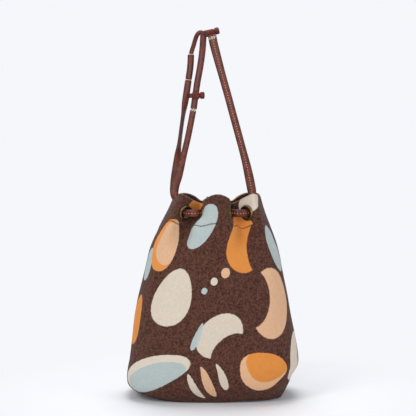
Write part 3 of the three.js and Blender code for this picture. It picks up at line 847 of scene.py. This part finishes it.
def strap_twist(path, distances, over, edge_turn):
    """Smooth face forward on the left, a turn onto the edge on the way up, and a turn over in the mouth."""
    start = distances[over]
    turn_over = np.pi * (1 - smooth_share(distances, start, start + TURN_OVER_LENGTH))
    on_left = np.arange(len(path)) < over
    on_edge = np.exp(-((path[:, 2] - EDGE_TURN_HEIGHT) / EDGE_TURN_SPREAD) ** 4) * on_left
    return turn_over + edge_turn * on_edge


def strap_spread(path, over, left_share):
    """Share of the strap's width: narrower up the left strand, wider over the hem and under the lacing."""
    height = path[:, 2]
    on_left = np.arange(len(path)) < over
    narrow = 1 - (1 - left_share) * smooth_share(height, *LEFT_NARROWING) * on_left
    over_hem = smooth_share(height, *HEM_PRESS_START) * (1 - smooth_share(height, *HEM_PRESS_END))
    under_lacing = smooth_share(height, *LACING_PRESS_START) * ~on_left
    return narrow + HEM_PRESS * over_hem + LACING_PRESS * under_lacing


def add_strap(name, left_strand, side, edge_turn, left_share, node, skin, edge_skin, thread):
    curve = drawcord_route(left_strand, side)
    length = travelled(curve)[-1]
    distances = end_rounded_distances(length, STRAP_END, STRAP_PITCH)
    path = at_distances(curve, distances)
    ahead, across, through = path_frames(path, np.tile((0.0, -1.0, 0.0), (len(path), 1)))
    over = int(np.argmax(path[:, 2] < HEM_CROSSING))
    angle = strap_twist(path, distances, over, edge_turn)[:, None]
    across, through = (
        across * np.cos(angle) - through * np.sin(angle),
        through * np.cos(angle) + across * np.sin(angle),
    )
    section = strap_section()
    outlines = section[None] * end_scale(distances, length, STRAP_END)[:, None, None]
    outlines[..., 0] *= strap_spread(path, over, left_share)[:, None]
    points, faces = sweep(path, across, through, outlines)
    strap = add_piece(name, points, faces, [skin, edge_skin], [node])
    # The outer sides of the section take the darker edge leather, which holds edge paint and painted shade
    on_edge = np.abs(section[:, 0]) > EDGE_SHARE * STRAP_WIDTH / 2
    edge_faces = np.tile(on_edge & np.roll(on_edge, -1), len(path) - 1).astype(int)
    strap.data.polygons.foreach_set("material_index", edge_faces.tolist() + [1, 1])
    stitches = add_strap_stitches(name + "_stitches", path, ahead, across, through, distances, thread)
    return strap, stitches, path, length


def stitch_shape():
    """A short plump stitch: along, across and out."""
    rings, sides = 5, 8
    along = np.linspace(-1, 1, rings + 2)[1:-1]
    plump = np.sqrt(1 - along ** 4)
    angle = np.linspace(0, 2 * np.pi, sides, endpoint=False)
    points = np.stack([
        np.repeat(along, sides),
        np.outer(plump, np.cos(angle)).ravel(),
        np.outer(plump, np.sin(angle)).ravel(),
    ], axis=1)
    return points, ring_faces(rings, sides) + end_caps(rings, sides)


def stitches_mesh(places, ahead, across, out, half_size):
    shape, shape_faces = stitch_shape()
    shape = shape * np.array(half_size)
    points = (
        places[:, None] + shape[None, :, :1] * ahead[:, None]
        + shape[None, :, 1:2] * across[:, None] + shape[None, :, 2:] * out[:, None]
    )
    faces = [
        tuple(corner + i * len(shape) for corner in face)
        for i in range(len(places)) for face in shape_faces
    ]
    return points.reshape(-1, 3), faces


def add_strap_stitches(name, path, ahead, across, through, distances, thread):
    """Close zigzag seam along the strap's groove."""
    spots = np.arange(STITCH_START, distances[-1] - STITCH_START, STITCH_PITCH)

    def at(values):
        return np.stack([np.interp(spots, distances, values[:, axis]) for axis in range(3)], axis=1)

    along, aside, out = unit(at(ahead)), unit(at(across)), unit(at(through))
    tilt = STITCH_TILT * (1 - 2 * (np.arange(len(spots)) % 2))[:, None]
    lie = along * np.cos(tilt) + aside * np.sin(tilt)
    places = at(path) + STRAP_THICKNESS / 2 * STITCH_SINK * out
    points, faces = stitches_mesh(places, lie, np.cross(out, lie), out, STITCH_SIZE)
    return add_piece(name, points, faces, [thread])


# Handle
def add_sweep(name, route, width, thickness, power, nodes, skin):
    curve = route_curve(route)
    length = travelled(curve)[-1]
    distances = end_rounded_distances(length, HANDLE_END, HANDLE_PITCH)
    path = at_distances(curve, distances)
    _, across, through = path_frames(path, np.tile((0.0, -1.0, 0.001), (len(path), 1)))
    section = rounded_box(width, thickness, power, HANDLE_SIDES)
    outlines = section[None] * end_scale(distances, length, HANDLE_END)[:, None, None]
    points, faces = sweep(path, across, through, outlines)
    return add_piece(name, points, faces, [skin], nodes), path, length


def route_end(route, share=1.0, back=0.0):
    curve = route_curve(route)
    length = travelled(curve)[-1]
    place = share * length - back
    points = at_distances(curve, np.clip([place - 0.5, place, place + 0.5], 0, length))
    return points[1], unit(points[2] - points[0])


def upright_axes(axis):
    turn = Vector((0, 0, 1)).rotation_difference(Vector(axis)).to_matrix()
    return np.array(turn)


def stadium(width, depth, count):
    radius = min(width, depth) / 2
    angle = np.linspace(0, 2 * np.pi, count, endpoint=False)
    shift = np.array((width / 2 - radius, depth / 2 - radius))
    side = np.stack([np.cos(angle), np.sin(angle)], axis=1)
    return even_outline(radius * side + shift * np.sign(np.round(side, 6)), count)


def add_band(name, centre, axis, bound, node, thread):
    """A few close turns of thread, which sink into the leather at its sides."""
    count = BAND_TURNS * THREAD_STEPS + 1
    outline = stadium(*bound, THREAD_STEPS)
    level = np.linspace(-0.5, 0.5, count) * (BAND_HEIGHT - THREAD)
    around = outline[np.arange(count) % THREAD_STEPS]
    path = np.column_stack([around, level]) @ upright_axes(axis).T + centre
    _, across, through = path_frames(path, np.tile(np.asarray(axis, float), (count, 1)))
    outlines = np.repeat(rounded_box(THREAD, THREAD, 2.0, 8)[None], count, axis=0)
    points, faces = sweep(path, across, through, outlines)
    return add_piece(name, points, faces, [thread], [node])


def add_lacing(name, centre, axis, bound, laces, lace_size, node, thread):
    """Slanting stitches over both faces of a joint: the place across and the tilt of each."""
    width, depth = bound
    aside, back, along = upright_axes(axis).T
    shift, tilt = np.array(laces, float).T[..., None]
    tilt = np.radians(tilt)
    lie = along * np.cos(tilt) + aside * np.sin(tilt)
    rise = depth / 2 * (1 - np.abs(2 * shift / width) ** 3) ** (1 / 3)
    places = np.vstack([centre + shift * aside - rise * back, centre + shift * aside + rise * back])
    out = np.vstack([np.tile(-back, (len(laces), 1)), np.tile(back, (len(laces), 1))])
    lie = np.vstack([lie, lie])
    points, faces = stitches_mesh(places, lie, np.cross(out, lie), out, lace_size)
    return add_piece(name, points, faces, [thread], [node])


def into_knob(route):
    """The thong's route, carried on into the knob that sits on its end."""
    end, axis = route_end(route)
    return route + [tuple(end + axis * (GAP + KNOB_SOCKET))]


def add_eye(name, route, thong, height, length, node, skin):
    """A leather loop around the thong, with soft edges."""
    centre, axis = route_end(route, back=length / 2 + GAP)
    bore = thong + 2 * GAP
    hole = stadium(bore, bore, EYE_SEGMENTS)
    outer = stadium(height, bore + 2 * EYE_WALL, EYE_SEGMENTS)
    half = length / 2
    steps = [
        (0.0, -half + EYE_SOFT), (0.25, -half), (0.75, -half), (1.0, -half + EYE_SOFT),
        (1.0, -length / 6), (1.0, length / 6),
        (1.0, half - EYE_SOFT), (0.75, half), (0.25, half), (0.0, half - EYE_SOFT), (0.0, 0.0),
    ]
    rings = np.stack([
        np.column_stack([hole + share * (outer - hole), np.full(EYE_SEGMENTS, level)])
        for share, level in steps
    ], axis=1)
    points = rings.reshape(-1, 3) @ upright_axes(axis).T + centre
    faces = ring_faces(EYE_SEGMENTS, len(steps), closed=True)
    return add_piece(name, points, faces, [skin], [node])


def knob_profile():
    """Half section of a knob from one end to the other: flat ends with round shoulders."""
    half = KNOB_LENGTH / 2
    arc = np.linspace(0, np.pi / 2, 6)
    shoulder = np.column_stack([
        KNOB_RADIUS - KNOB_ROUND * (1 - np.cos(arc)), half - KNOB_ROUND * (1 - np.sin(arc)),
    ])
    face = np.column_stack([np.linspace(shoulder[-1, 0], 0.15, 9)[1:], np.full(8, half)])
    upper = np.vstack([[(KNOB_RADIUS, 0.0)], shoulder, face])
    return np.vstack([upper[::-1] * (1, -1), upper[1:]])


def add_knob(name, route, node, skin):
    """A roll of leather: round shoulders, a lapped edge and the coil of the roll on its ends."""
    end, axis = route_end(route)
    half = KNOB_LENGTH / 2
    centre = end + axis * (GAP + half)
    profile = knob_profile()
    columns = len(profile)
    angle = np.linspace(0, 2 * np.pi, KNOB_SEGMENTS, endpoint=False)
    radius = np.repeat(profile[None, :, 0], KNOB_SEGMENTS, axis=0)
    level = np.repeat(profile[None, :, 1], KNOB_SEGMENTS, axis=0)
    turn = np.repeat(angle[:, None], columns, axis=1) / (2 * np.pi)
    coil = np.abs((radius / COIL_PITCH - turn) % 1 - 0.5)
    flat = smooth_share(np.abs(level), half - 0.5, half)
    level = level - np.sign(level) * flat * COIL_DEPTH * np.exp(-(coil / COIL_SPREAD) ** 2)
    lap = smooth_share(turn, *LAP_START) - smooth_share(turn, *LAP_END)
    radius = radius * (1 - LAP_STEP * (1 - lap))
    local = np.stack([radius * np.cos(angle)[:, None], radius * np.sin(angle)[:, None], level], axis=-1)
    points = local.reshape(-1, 3) @ upright_axes(axis).T + centre
    rows = [tuple(ring * columns + edge for ring in range(KNOB_SEGMENTS)) for edge in (0, columns - 1)]
    sides = ring_faces(KNOB_SEGMENTS, columns, closed=True)
    faces = [face for face in sides if face[0] % columns != columns - 1]
    faces += [tuple(reversed(rows[0])), rows[1]]
    return add_piece(name, points, faces, [skin], [node])


# Cloth bag
def station_value(heights, key):
    """Smooth value between the stations, as in the solid."""
    level = STATIONS[:, 0]
    value = STATIONS[:, key]
    before = np.maximum(np.arange(len(level)) - 1, 0)
    after = np.minimum(np.arange(len(level)) + 1, len(level) - 1)
    slope = (value[after] - value[before]) / (level[after] - level[before])
    low = np.clip(np.searchsorted(level, heights, side="right") - 1, 0, len(level) - 2)
    span = level[low + 1] - level[low]
    t = (heights - level[low]) / span
    from_low = (2 * t - 3) * t * t * value[low] + value[low] + ((t - 2) * t + 1) * t * span * slope[low]
    from_high = (3 - 2 * t) * t * t * value[low + 1] + (t - 1) * t * t * span * slope[low + 1]
    return from_low + from_high


def gathered_outline(neck_share):
    """Outline of the gathers: straight flanks between rounded lobes and valleys, closer at the neck."""
    places = THROAT_CORNERS + neck_share * (NECK_CORNERS - THROAT_CORNERS)
    quarter = list(zip(places, CORNER_ROUNDING))
    half = quarter + [(corner * (1, -1), rounding) for corner, rounding in reversed(quarter)]
    corners = half + [(corner * (-1, 1), rounding) for corner, rounding in reversed(half)]
    t = np.linspace(0, 1, CORNER_STEPS)[:, None]
    outline = [np.array([[0, -NECK_DEPTH / 2]])]
    for i, (corner, rounding) in enumerate(corners):
        before = corners[i - 1][0]
        after = corners[(i + 1) % len(corners)][0]
        start = corner + rounding * unit(before - corner)
        end = corner + rounding * unit(after - corner)
        outline.append((1 - t) ** 2 * start + 2 * t * (1 - t) * corner + t * t * end)
    return even_outline(np.vstack(outline), COLUMNS)


GATHERS = gathered_outline(1.0)


def valley_distances():
    return np.linalg.norm(np.abs(GATHERS) - VALLEY, axis=1)


def hem_heights():
    """Height of the hem at each column of the cloth."""
    x, y = GATHERS.T
    to_valley = valley_distances()
    to_side = np.hypot(NECK_WIDTH / 2 - np.abs(x), y)
    back_drop = BACK_DROP * np.maximum(y / (NECK_DEPTH / 2), 0) ** 2
    on_side_lobe = (y < 0) & (np.abs(x) > VALLEY[0])
    valley_slope = np.where(on_side_lobe, SIDE_SLOPE, LOBE_SLOPE)
    valley_dip = VALLEY_DIP * np.maximum(1 - to_valley / VALLEY_REACH, 0) ** valley_slope
    side_depth = np.where(x < 0, LEFT_DIP, RIGHT_DIP)
    side_dip = side_depth * np.maximum(1 - to_side / SIDE_REACH, 0) ** SIDE_SLOPE
    front_drop = FRONT_LOBE_DROP * smooth_share(to_valley, *FRONT_DROP_REACH)
    behind_drop = BACK_LOBE_DROP * smooth_share(to_valley, *BACK_DROP_REACH)
    lobe_side = np.minimum(np.abs(x) / LOBE_X, 1) ** 2 * (np.abs(x) < VALLEY[0])
    lobe_drop = np.where(y < 0, front_drop, behind_drop) * lobe_side
    return MOUTH_HEIGHT - back_drop - valley_dip - side_dip - lobe_drop


HEM = hem_heights()


def outline_table(levels):
    """Outline of the wall at each level, which turns from a rounded box into the gathers."""
    table = []
    for height in levels:
        width = station_value(height, WIDTH)
        depth = station_value(height, DEPTH)
        plain = even_outline(rounded_box(width, depth, station_value(height, POWER), BOX_POINTS), COLUMNS)
        neck_share = smooth_share(height, THROAT_HEIGHT, EYELET_HEIGHT)
        gathered = gathered_outline(neck_share) * (width / NECK_WIDTH, depth / NECK_DEPTH)
        leaning = (station_value(height, LEAN), 0)
        table.append(plain + station_value(height, GATHER) * (gathered - plain) + leaning)
    return np.array(table)


def wall_points(heights):
    """Points of the outer wall for rows of heights, which bend to the hem above the eyelets."""
    levels = np.linspace(0, MOUTH_HEIGHT, OUTLINE_LEVELS)
    table = outline_table(levels)
    rise = np.maximum(heights - EYELET_HEIGHT, 0) / (MOUTH_HEIGHT - EYELET_HEIGHT)
    column_heights = np.minimum(heights, EYELET_HEIGHT)[:, None] + rise[:, None] * (HEM - EYELET_HEIGHT)
    place = np.clip(column_heights / MOUTH_HEIGHT * (len(levels) - 1), 0, len(levels) - 1.001)
    low = place.astype(int)
    share = (place - low)[..., None]
    column = np.arange(COLUMNS)[None]
    flat = table[low, column] * (1 - share) + table[low + 1, column] * share
    return np.concatenate([flat, column_heights[..., None]], axis=-1)


def spread_lobes(wall):
    """Spreads the front lobe at the hem and draws the back one in, so that the front one hides it."""
    x, y = GATHERS.T
    on_lobe = smooth_share(valley_distances(), *LOBE_SPREAD_EDGE) * (np.abs(x) < VALLEY[0])
    spread = np.where(y < 0, FRONT_LOBE_SPREAD, BACK_LOBE_SPREAD) * on_lobe
    height = wall[..., 2]
    from_middle = wall[..., 0] - station_value(height, LEAN)
    spread_wall = wall.copy()
    spread_wall[..., 0] += spread * smooth_share(height, *LOBE_SPREAD_RISE) * from_middle
    return spread_wall


def grid_normals(grid):
    along = np.roll(grid, -1, axis=1) - np.roll(grid, 1, axis=1)
    up = np.gradient(grid, axis=0)
    return unit(np.cross(along, up))


def cloth_noise(points, kind):
    stretch, start, depth = kind
    flat = points.reshape(-1, 3) / np.array(stretch) + start
    return depth * np.array([noise.noise(Vector(p)) for p in flat]).reshape(points.shape[:-1])


def crumple(wall):
    """Soft folds of the hanging cloth: long ones under the gathers, dents, creases and a left ridge."""
    x, y, height = np.moveaxis(wall, -1, 0)
    under_neck = np.exp(-((height - FOLD_HEIGHT) / FOLD_SPREAD) ** 2)
    belly = smooth_share(height, *SLACK_START) * (1 - smooth_share(height, *SLACK_END))
    corner = np.exp(-((height - CREASE_HEIGHT) / CREASE_SPREAD) ** 2) * smooth_share(np.abs(x), *CREASE_OUT)
    (top_x, top_height), (low_x, low_height) = RIDGE
    down = (top_height - height) / (top_height - low_height)
    to_ridge = x - top_x - down * (low_x - top_x)
    along_ridge = smooth_share(down, *RIDGE_START) * (1 - smooth_share(down, *RIDGE_END))
    ridge = np.exp(-(to_ridge / RIDGE_SPREAD) ** 2) * along_ridge * (y < 0)
    return (
        under_neck * cloth_noise(wall, LONG_FOLDS) + belly * cloth_noise(wall, SLACK_DENTS)
        + corner * cloth_noise(wall, CORNER_CREASES) + RIDGE_RISE * ridge
    )


def hem_turn(edge, edge_up, normal):
    """Half-round hem from the outer edge over the top to the inside."""
    angles = np.linspace(0, np.pi, 2 * HEM_ARC_STEPS + 3)[1:-1]
    half = CLOTH / 2
    return [edge + half * (math.sin(a) * edge_up - (1 - math.cos(a)) * normal) for a in angles]


def bag_rings():
    """Rings from the middle of the base out, up the wall, over the hem and back down inside."""
    rows = np.linspace(0, MOUTH_HEIGHT, int(MOUTH_HEIGHT / ROW_HEIGHT) + 1)
    wall = spread_lobes(wall_points(rows))
    upright = smooth_share(rows, *SMOOTH_FOOT)[:, None, None]
    wall = wall + crumple(wall)[..., None] * grid_normals(wall) * upright
    lift = smooth_share(wall[..., 0], *BASE_LIFT_RIGHT) * smooth_share(-wall[..., 1], *BASE_LIFT_FRONT)
    wall[..., 2] += BASE_LIFT * lift * (1 - smooth_share(rows, *BASE_LIFT_UP))[:, None]
    spokes = np.linspace(BASE_MIDDLE, 1, BASE_RINGS, endpoint=False)[:, None, None]
    base = spokes * wall[:1]
    outer = np.concatenate([base, wall])
    normals = grid_normals(outer)
    normals[:BASE_RINGS] = (0, 0, -1)
    normals[BASE_RINGS] = unit(normals[BASE_RINGS] + (0, 0, -1))
    edge_up = unit(outer[-1] - outer[-2])
    outer[-1] = outer[-1] - CLOTH / 2 * edge_up
    hem = hem_turn(outer[-1], edge_up, normals[-1])
    inner = outer - CLOTH * normals
    rings = np.concatenate([outer, np.array(hem), inner[::-1]])
    return rings, len(outer)


def eyelet_frames():
    """Seat and axis of each eyelet, on the line through its solid ring's and its solid washer's middles."""
    frames = []
    for number in range(1, EYELET_COUNT + 1):
        middles = []
        for node in (f"eyelet_{number}", f"eyelet_washer_{number}"):
            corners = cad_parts[node].data.vertices
            places = np.array(sorted({tuple(round(c / MM, 3) for c in v.co) for v in corners}))
            middles.append(places.mean(axis=0))
        axis = unit(middles[0] - middles[1])
        seat = middles[1] - (WASHER_FRONT - WASHER_THICKNESS / 2) * axis
        frames.append((seat, axis))
    return frames


EYELETS = eyelet_frames()


def eyelet_holes(rings, outer_count):
    """True for each outer quad that an eyelet's barrel goes through."""
    quad_middles = (rings[:outer_count - 1] + rings[1:outer_count]) / 2
    quad_middles = (quad_middles + np.roll(quad_middles, -1, axis=1)) / 2
    holes = np.zeros(quad_middles.shape[:2], bool)
    for seat, axis in EYELETS:
        offset = quad_middles - seat
        lift = offset @ axis
        aside = np.linalg.norm(offset - lift[..., None] * axis, axis=-1)
        holes |= (aside < BARREL_RADIUS + HOLE_MARGIN) & (np.abs(lift) < HOLE_DEPTH)
    return holes


def bag_faces(rings, outer_count):
    """Quads of the wall with its eyelet holes, and which of them are lining."""
    count = len(rings)
    holes = eyelet_holes(rings, outer_count)

    def at(ring, column):
        return ring * COLUMNS + column % COLUMNS

    faces, lined, corners = [], [], []

    def add_face(*spots, inside=False):
        faces.append(tuple(at(ring, column) for ring, column in spots))
        corners.append(spots)
        lined.append(inside)

    for ring in range(count - 1):
        mirrored = count - 2 - ring
        within_outer = ring < outer_count - 1
        within_inner = mirrored < outer_count - 1
        for i in range(COLUMNS):
            if (within_outer and holes[ring, i]) or (within_inner and holes[mirrored, i]):
                continue
            add_face((ring, i), (ring, i + 1), (ring + 1, i + 1), (ring + 1, i), inside=within_inner)
    for ring, i in zip(*np.nonzero(holes)):
        ring, i = int(ring), int(i)
        sides = [
            (holes[ring - 1, i], (ring, i), (ring, i + 1)),
            (holes[ring + 1, i], (ring + 1, i + 1), (ring + 1, i)),
            (holes[ring, (i + 1) % COLUMNS], (ring, i + 1), (ring + 1, i + 1)),
            (holes[ring, i - 1], (ring + 1, i), (ring, i)),
        ]
        for also_hole, start, end in sides:
            if not also_hole:
                back_start = (count - 1 - start[0], start[1])
                back_end = (count - 1 - end[0], end[1])
                add_face(start, end, back_end, back_start, inside=True)
    add_face(*[(0, i) for i in reversed(range(COLUMNS))])
    add_face(*[(count - 1, i) for i in range(COLUMNS)], inside=True)
    return faces, corners, lined


def cloth_coordinates(rings):
    """Length up the cloth from the edge of the base, for every point of the rings."""
    steps = np.linalg.norm(np.diff(rings, axis=0), axis=-1)
    climbed = np.concatenate([np.zeros((1, COLUMNS)), np.cumsum(steps, axis=0)])
    climbed -= climbed[BASE_RINGS]
    top = len(rings) // 2
    climbed[top:] = climbed[top] - (climbed[top:] - climbed[top])
    return climbed


def add_bag(printed, lining):
    rings, outer_count = bag_rings()
    faces, corners, lined = bag_faces(rings, outer_count)
    bag = add_piece("bag_cloth", rings.reshape(-1, 3), faces, [printed, lining], ["bag_body"])
    climbed = cloth_coordinates(rings)
    layer = bag.data.uv_layers.new(name="cloth")
    around = 2 * PRINT_REPEAT
    places = []
    for spots in corners:
        for ring, column in spots:
            share = column / COLUMNS
            share = share - 1 if min(c for _, c in spots) >= COLUMNS // 2 else share
            places += [share * around * MM, climbed[ring, column % COLUMNS] * MM]
    layer.data.foreach_set("uv", places)
    depth = bag.data.attributes.new("hem_depth", "FLOAT", "POINT")
    depth.data.foreach_set("value", ((climbed.max(axis=0) - climbed) * MM).ravel())
    bag.data.polygons.foreach_set("material_index", [int(inside) for inside in lined])
    bag.data.update()
    return bag, rings[:outer_count], climbed[:outer_count] - climbed.max(axis=0)


def add_hem_stitches(outer, climbed, thread):
    """Row of stitches that holds the folded hem, a set depth below the mouth's edge."""
    normals = grid_normals(outer)

    def at_fold(grid):
        return np.array([
            [np.interp(-HEM_FOLD, climbed[:, column], grid[:, column, axis]) for axis in range(3)]
            for column in range(COLUMNS)
        ])

    places = at_fold(outer)
    out = unit(at_fold(normals))
    ahead = unit(np.roll(places, -1, axis=0) - np.roll(places, 1, axis=0))
    keep = np.arange(0, COLUMNS, HEM_STITCH_STEP)
    across = np.cross(out, ahead)
    points, faces = stitches_mesh(places[keep], ahead[keep], across[keep], out[keep], HEM_STITCH_SIZE)
    return add_piece("hem_stitches", points, faces, [thread])


# Eyelets
def eyelet_profile():
    """Section of an eyelet: domed ring, barrel and the rolled back end."""
    dome = np.linspace(0, np.pi, 13)
    middle = (EYELET_RADIUS + EYELET_BORE) / 2
    half = (EYELET_RADIUS - EYELET_BORE) / 2
    crown = [(middle + half * math.cos(a), GAP + EYELET_DOME * math.sin(a) ** 0.8) for a in dome]
    return crown + [
        (EYELET_BORE, -1.5), (EYELET_BORE, ROLL_BACK + 0.5), (EYELET_BORE + 0.3, ROLL_BACK),
        (ROLL_RADIUS - ROLL_SOFT, ROLL_BACK), (ROLL_RADIUS, ROLL_BACK + ROLL_SOFT),
        (ROLL_RADIUS - ROLL_SOFT, ROLL_BACK + 2 * ROLL_SOFT),
        (BARREL_RADIUS, ROLL_BACK + 0.85), (BARREL_RADIUS, 0.0), (BARREL_RADIUS + 0.3, 0.15),
        (EYELET_RADIUS - 0.4, 0.1),
    ]


def washer_profile():
    back = WASHER_FRONT - WASHER_THICKNESS
    inside = BARREL_RADIUS + GAP
    soft = WASHER_SOFT
    return [
        (inside, back + soft), (inside, WASHER_FRONT - soft), (inside + soft, WASHER_FRONT),
        (EYELET_RADIUS - soft, WASHER_FRONT), (EYELET_RADIUS, WASHER_FRONT - soft),
        (EYELET_RADIUS, back + soft), (EYELET_RADIUS - soft, back), (inside + soft, back),
    ]


def add_eyelets(brass):
    for number, (seat, axis) in enumerate(EYELETS, start=1):
        points, faces = lathe(eyelet_profile()[::-1], EYELET_SEGMENTS, seat, axis)
        add_piece(f"eyelet_ring_{number}", points, faces, [brass], [f"eyelet_{number}"])
        points, faces = lathe(washer_profile(), EYELET_SEGMENTS, seat, axis)
        add_piece(f"washer_ring_{number}", points, faces, [brass], [f"eyelet_washer_{number}"])


# Making
bpy.context.scene.view_settings.view_transform = "Standard"
add_camera()

grain = leather_grain_group()
wear = handling_wear_group()
weave = canvas_weave_group()
strap_leather = leather(
    "strap_leather", grain, wear, STRAP_BROWN, STRAP_DARK, pores=900.0, gloss=0.4, coat=0.08,
)
strap_edge_paint_and_shade = leather(
    "strap_edge_paint_and_shade", grain, wear, EDGE_PAINT_AND_SHADE_BROWN, EDGE_PAINT_AND_SHADE_DARK, pores=900.0, gloss=0.45, coat=0.05,
)
thong_leather = leather(
    "thong_leather", grain, wear, THONG_BROWN, THONG_DARK, pores=1200.0, gloss=0.34, coat=0.1,
)
knob_leather = leather(
    "knob_leather", grain, wear, THONG_BROWN, THONG_DARK, pores=1200.0, gloss=0.55, coat=0.0,
)
binding_thread = waxed_thread("binding_thread", BINDING_PALE)
seam_thread = waxed_thread("seam_thread", SEAM_PINK)
hem_thread = waxed_thread("hem_thread", HEM_BROWN)
brass = aged_brass(wear)

front_strap, front_stitches, front_path, front_length = add_strap(
    "front_strap", LEFT_FRONT_STRAND, side=-1, edge_turn=0.0, left_share=FRONT_LEFT_SHARE,
    node="front_cord", skin=strap_leather, edge_skin=strap_edge_paint_and_shade, thread=seam_thread,
)
back_strap, back_stitches, back_path, back_length = add_strap(
    "back_strap", LEFT_BACK_STRAND, side=1, edge_turn=BACK_EDGE_TURN, left_share=BACK_LEFT_SHARE,
    node="back_cord", skin=strap_leather, edge_skin=strap_edge_paint_and_shade, thread=seam_thread,
)
tab, _, _ = add_sweep(
    "tab_leather", TAB_ROUTE, TAB_WIDTH, TAB_THICKNESS, TAB_POWER, ["long_tab"], thong_leather,
)
sleeve, _, _ = add_sweep(
    "sleeve_leather", SLEEVE_ROUTE, SLEEVE_WIDTH, SLEEVE_THICKNESS, TAB_POWER, ["cord_sleeve"],
    thong_leather,
)
top_thong, top_thong_path, top_thong_length = add_sweep(
    "top_thong_leather", into_knob(TOP_THONG_ROUTE), TOP_THONG, TOP_THONG, TOP_THONG_POWER, ["top_thong"],
    thong_leather,
)
add_sweep(
    "side_thong_leather", into_knob(SIDE_THONG_ROUTE), SIDE_THONG_WIDTH, SIDE_THONG_THICKNESS,
    SIDE_THONG_POWER, ["side_thong"], thong_leather,
)
top_eye = add_eye(
    "top_eye_leather", TOP_THONG_ROUTE, TOP_THONG, TOP_EYE_HEIGHT, TOP_EYE_LENGTH, "top_eye", knob_leather,
)
tongue, _, _ = add_sweep(
    "tongue_leather", TONGUE_ROUTE, TONGUE_WIDTH, TONGUE_THICKNESS, TONGUE_POWER, [], strap_leather,
)
add_eye(
    "side_eye_leather", SIDE_THONG_ROUTE, SIDE_THONG, SIDE_EYE_HEIGHT, SIDE_EYE_LENGTH, "side_eye",
    knob_leather,
)
top_knob = add_knob("top_knob_leather", TOP_THONG_ROUTE, "top_knob", knob_leather)
add_knob("side_knob_leather", SIDE_THONG_ROUTE, "side_knob", knob_leather)

strap_top, strap_axis = route_end([(x, 0.0, z) for x, z in RIGHT_STRAND], back=TOP_LACING_BACK)
both_straps = (TOP_LACING_WIDTH, 2 * STRAND_Y + STRAP_THICKNESS)
add_lacing(
    "top_lacing_thread", strap_top, strap_axis, both_straps, TOP_LACES, TOP_LACE_SIZE, "top_whipping",
    binding_thread,
)
tab_foot, tab_axis = route_end(TAB_ROUTE, share=0.0)
tab_joint = (TAB_WIDTH + LACING_MARGIN, STRAP_THICKNESS + LACING_MARGIN)
lower_lacing = add_lacing(
    "lower_lacing_thread", tab_foot, tab_axis, tab_joint, LOWER_LACES, LOWER_LACE_SIZE, "lower_whipping",
    binding_thread,
)
sleeve_foot, foot_axis = route_end(SLEEVE_ROUTE, share=0.0)
lower_band = add_band(
    "lower_band_thread", sleeve_foot, foot_axis, LOWER_BAND, "sleeve_band_lower", binding_thread,
)
sleeve_top, top_axis = route_end(SLEEVE_ROUTE)
upper_band = add_band(
    "upper_band_thread", sleeve_top, top_axis, UPPER_BAND, "sleeve_band_upper", binding_thread,
)

bag, outer, climbed = add_bag(printed_canvas(weave, print_shape_group()), lining_canvas(weave))
hem_stitches = add_hem_stitches(outer, climbed, hem_thread)
add_eyelets(brass)

add_floor()
add_light()
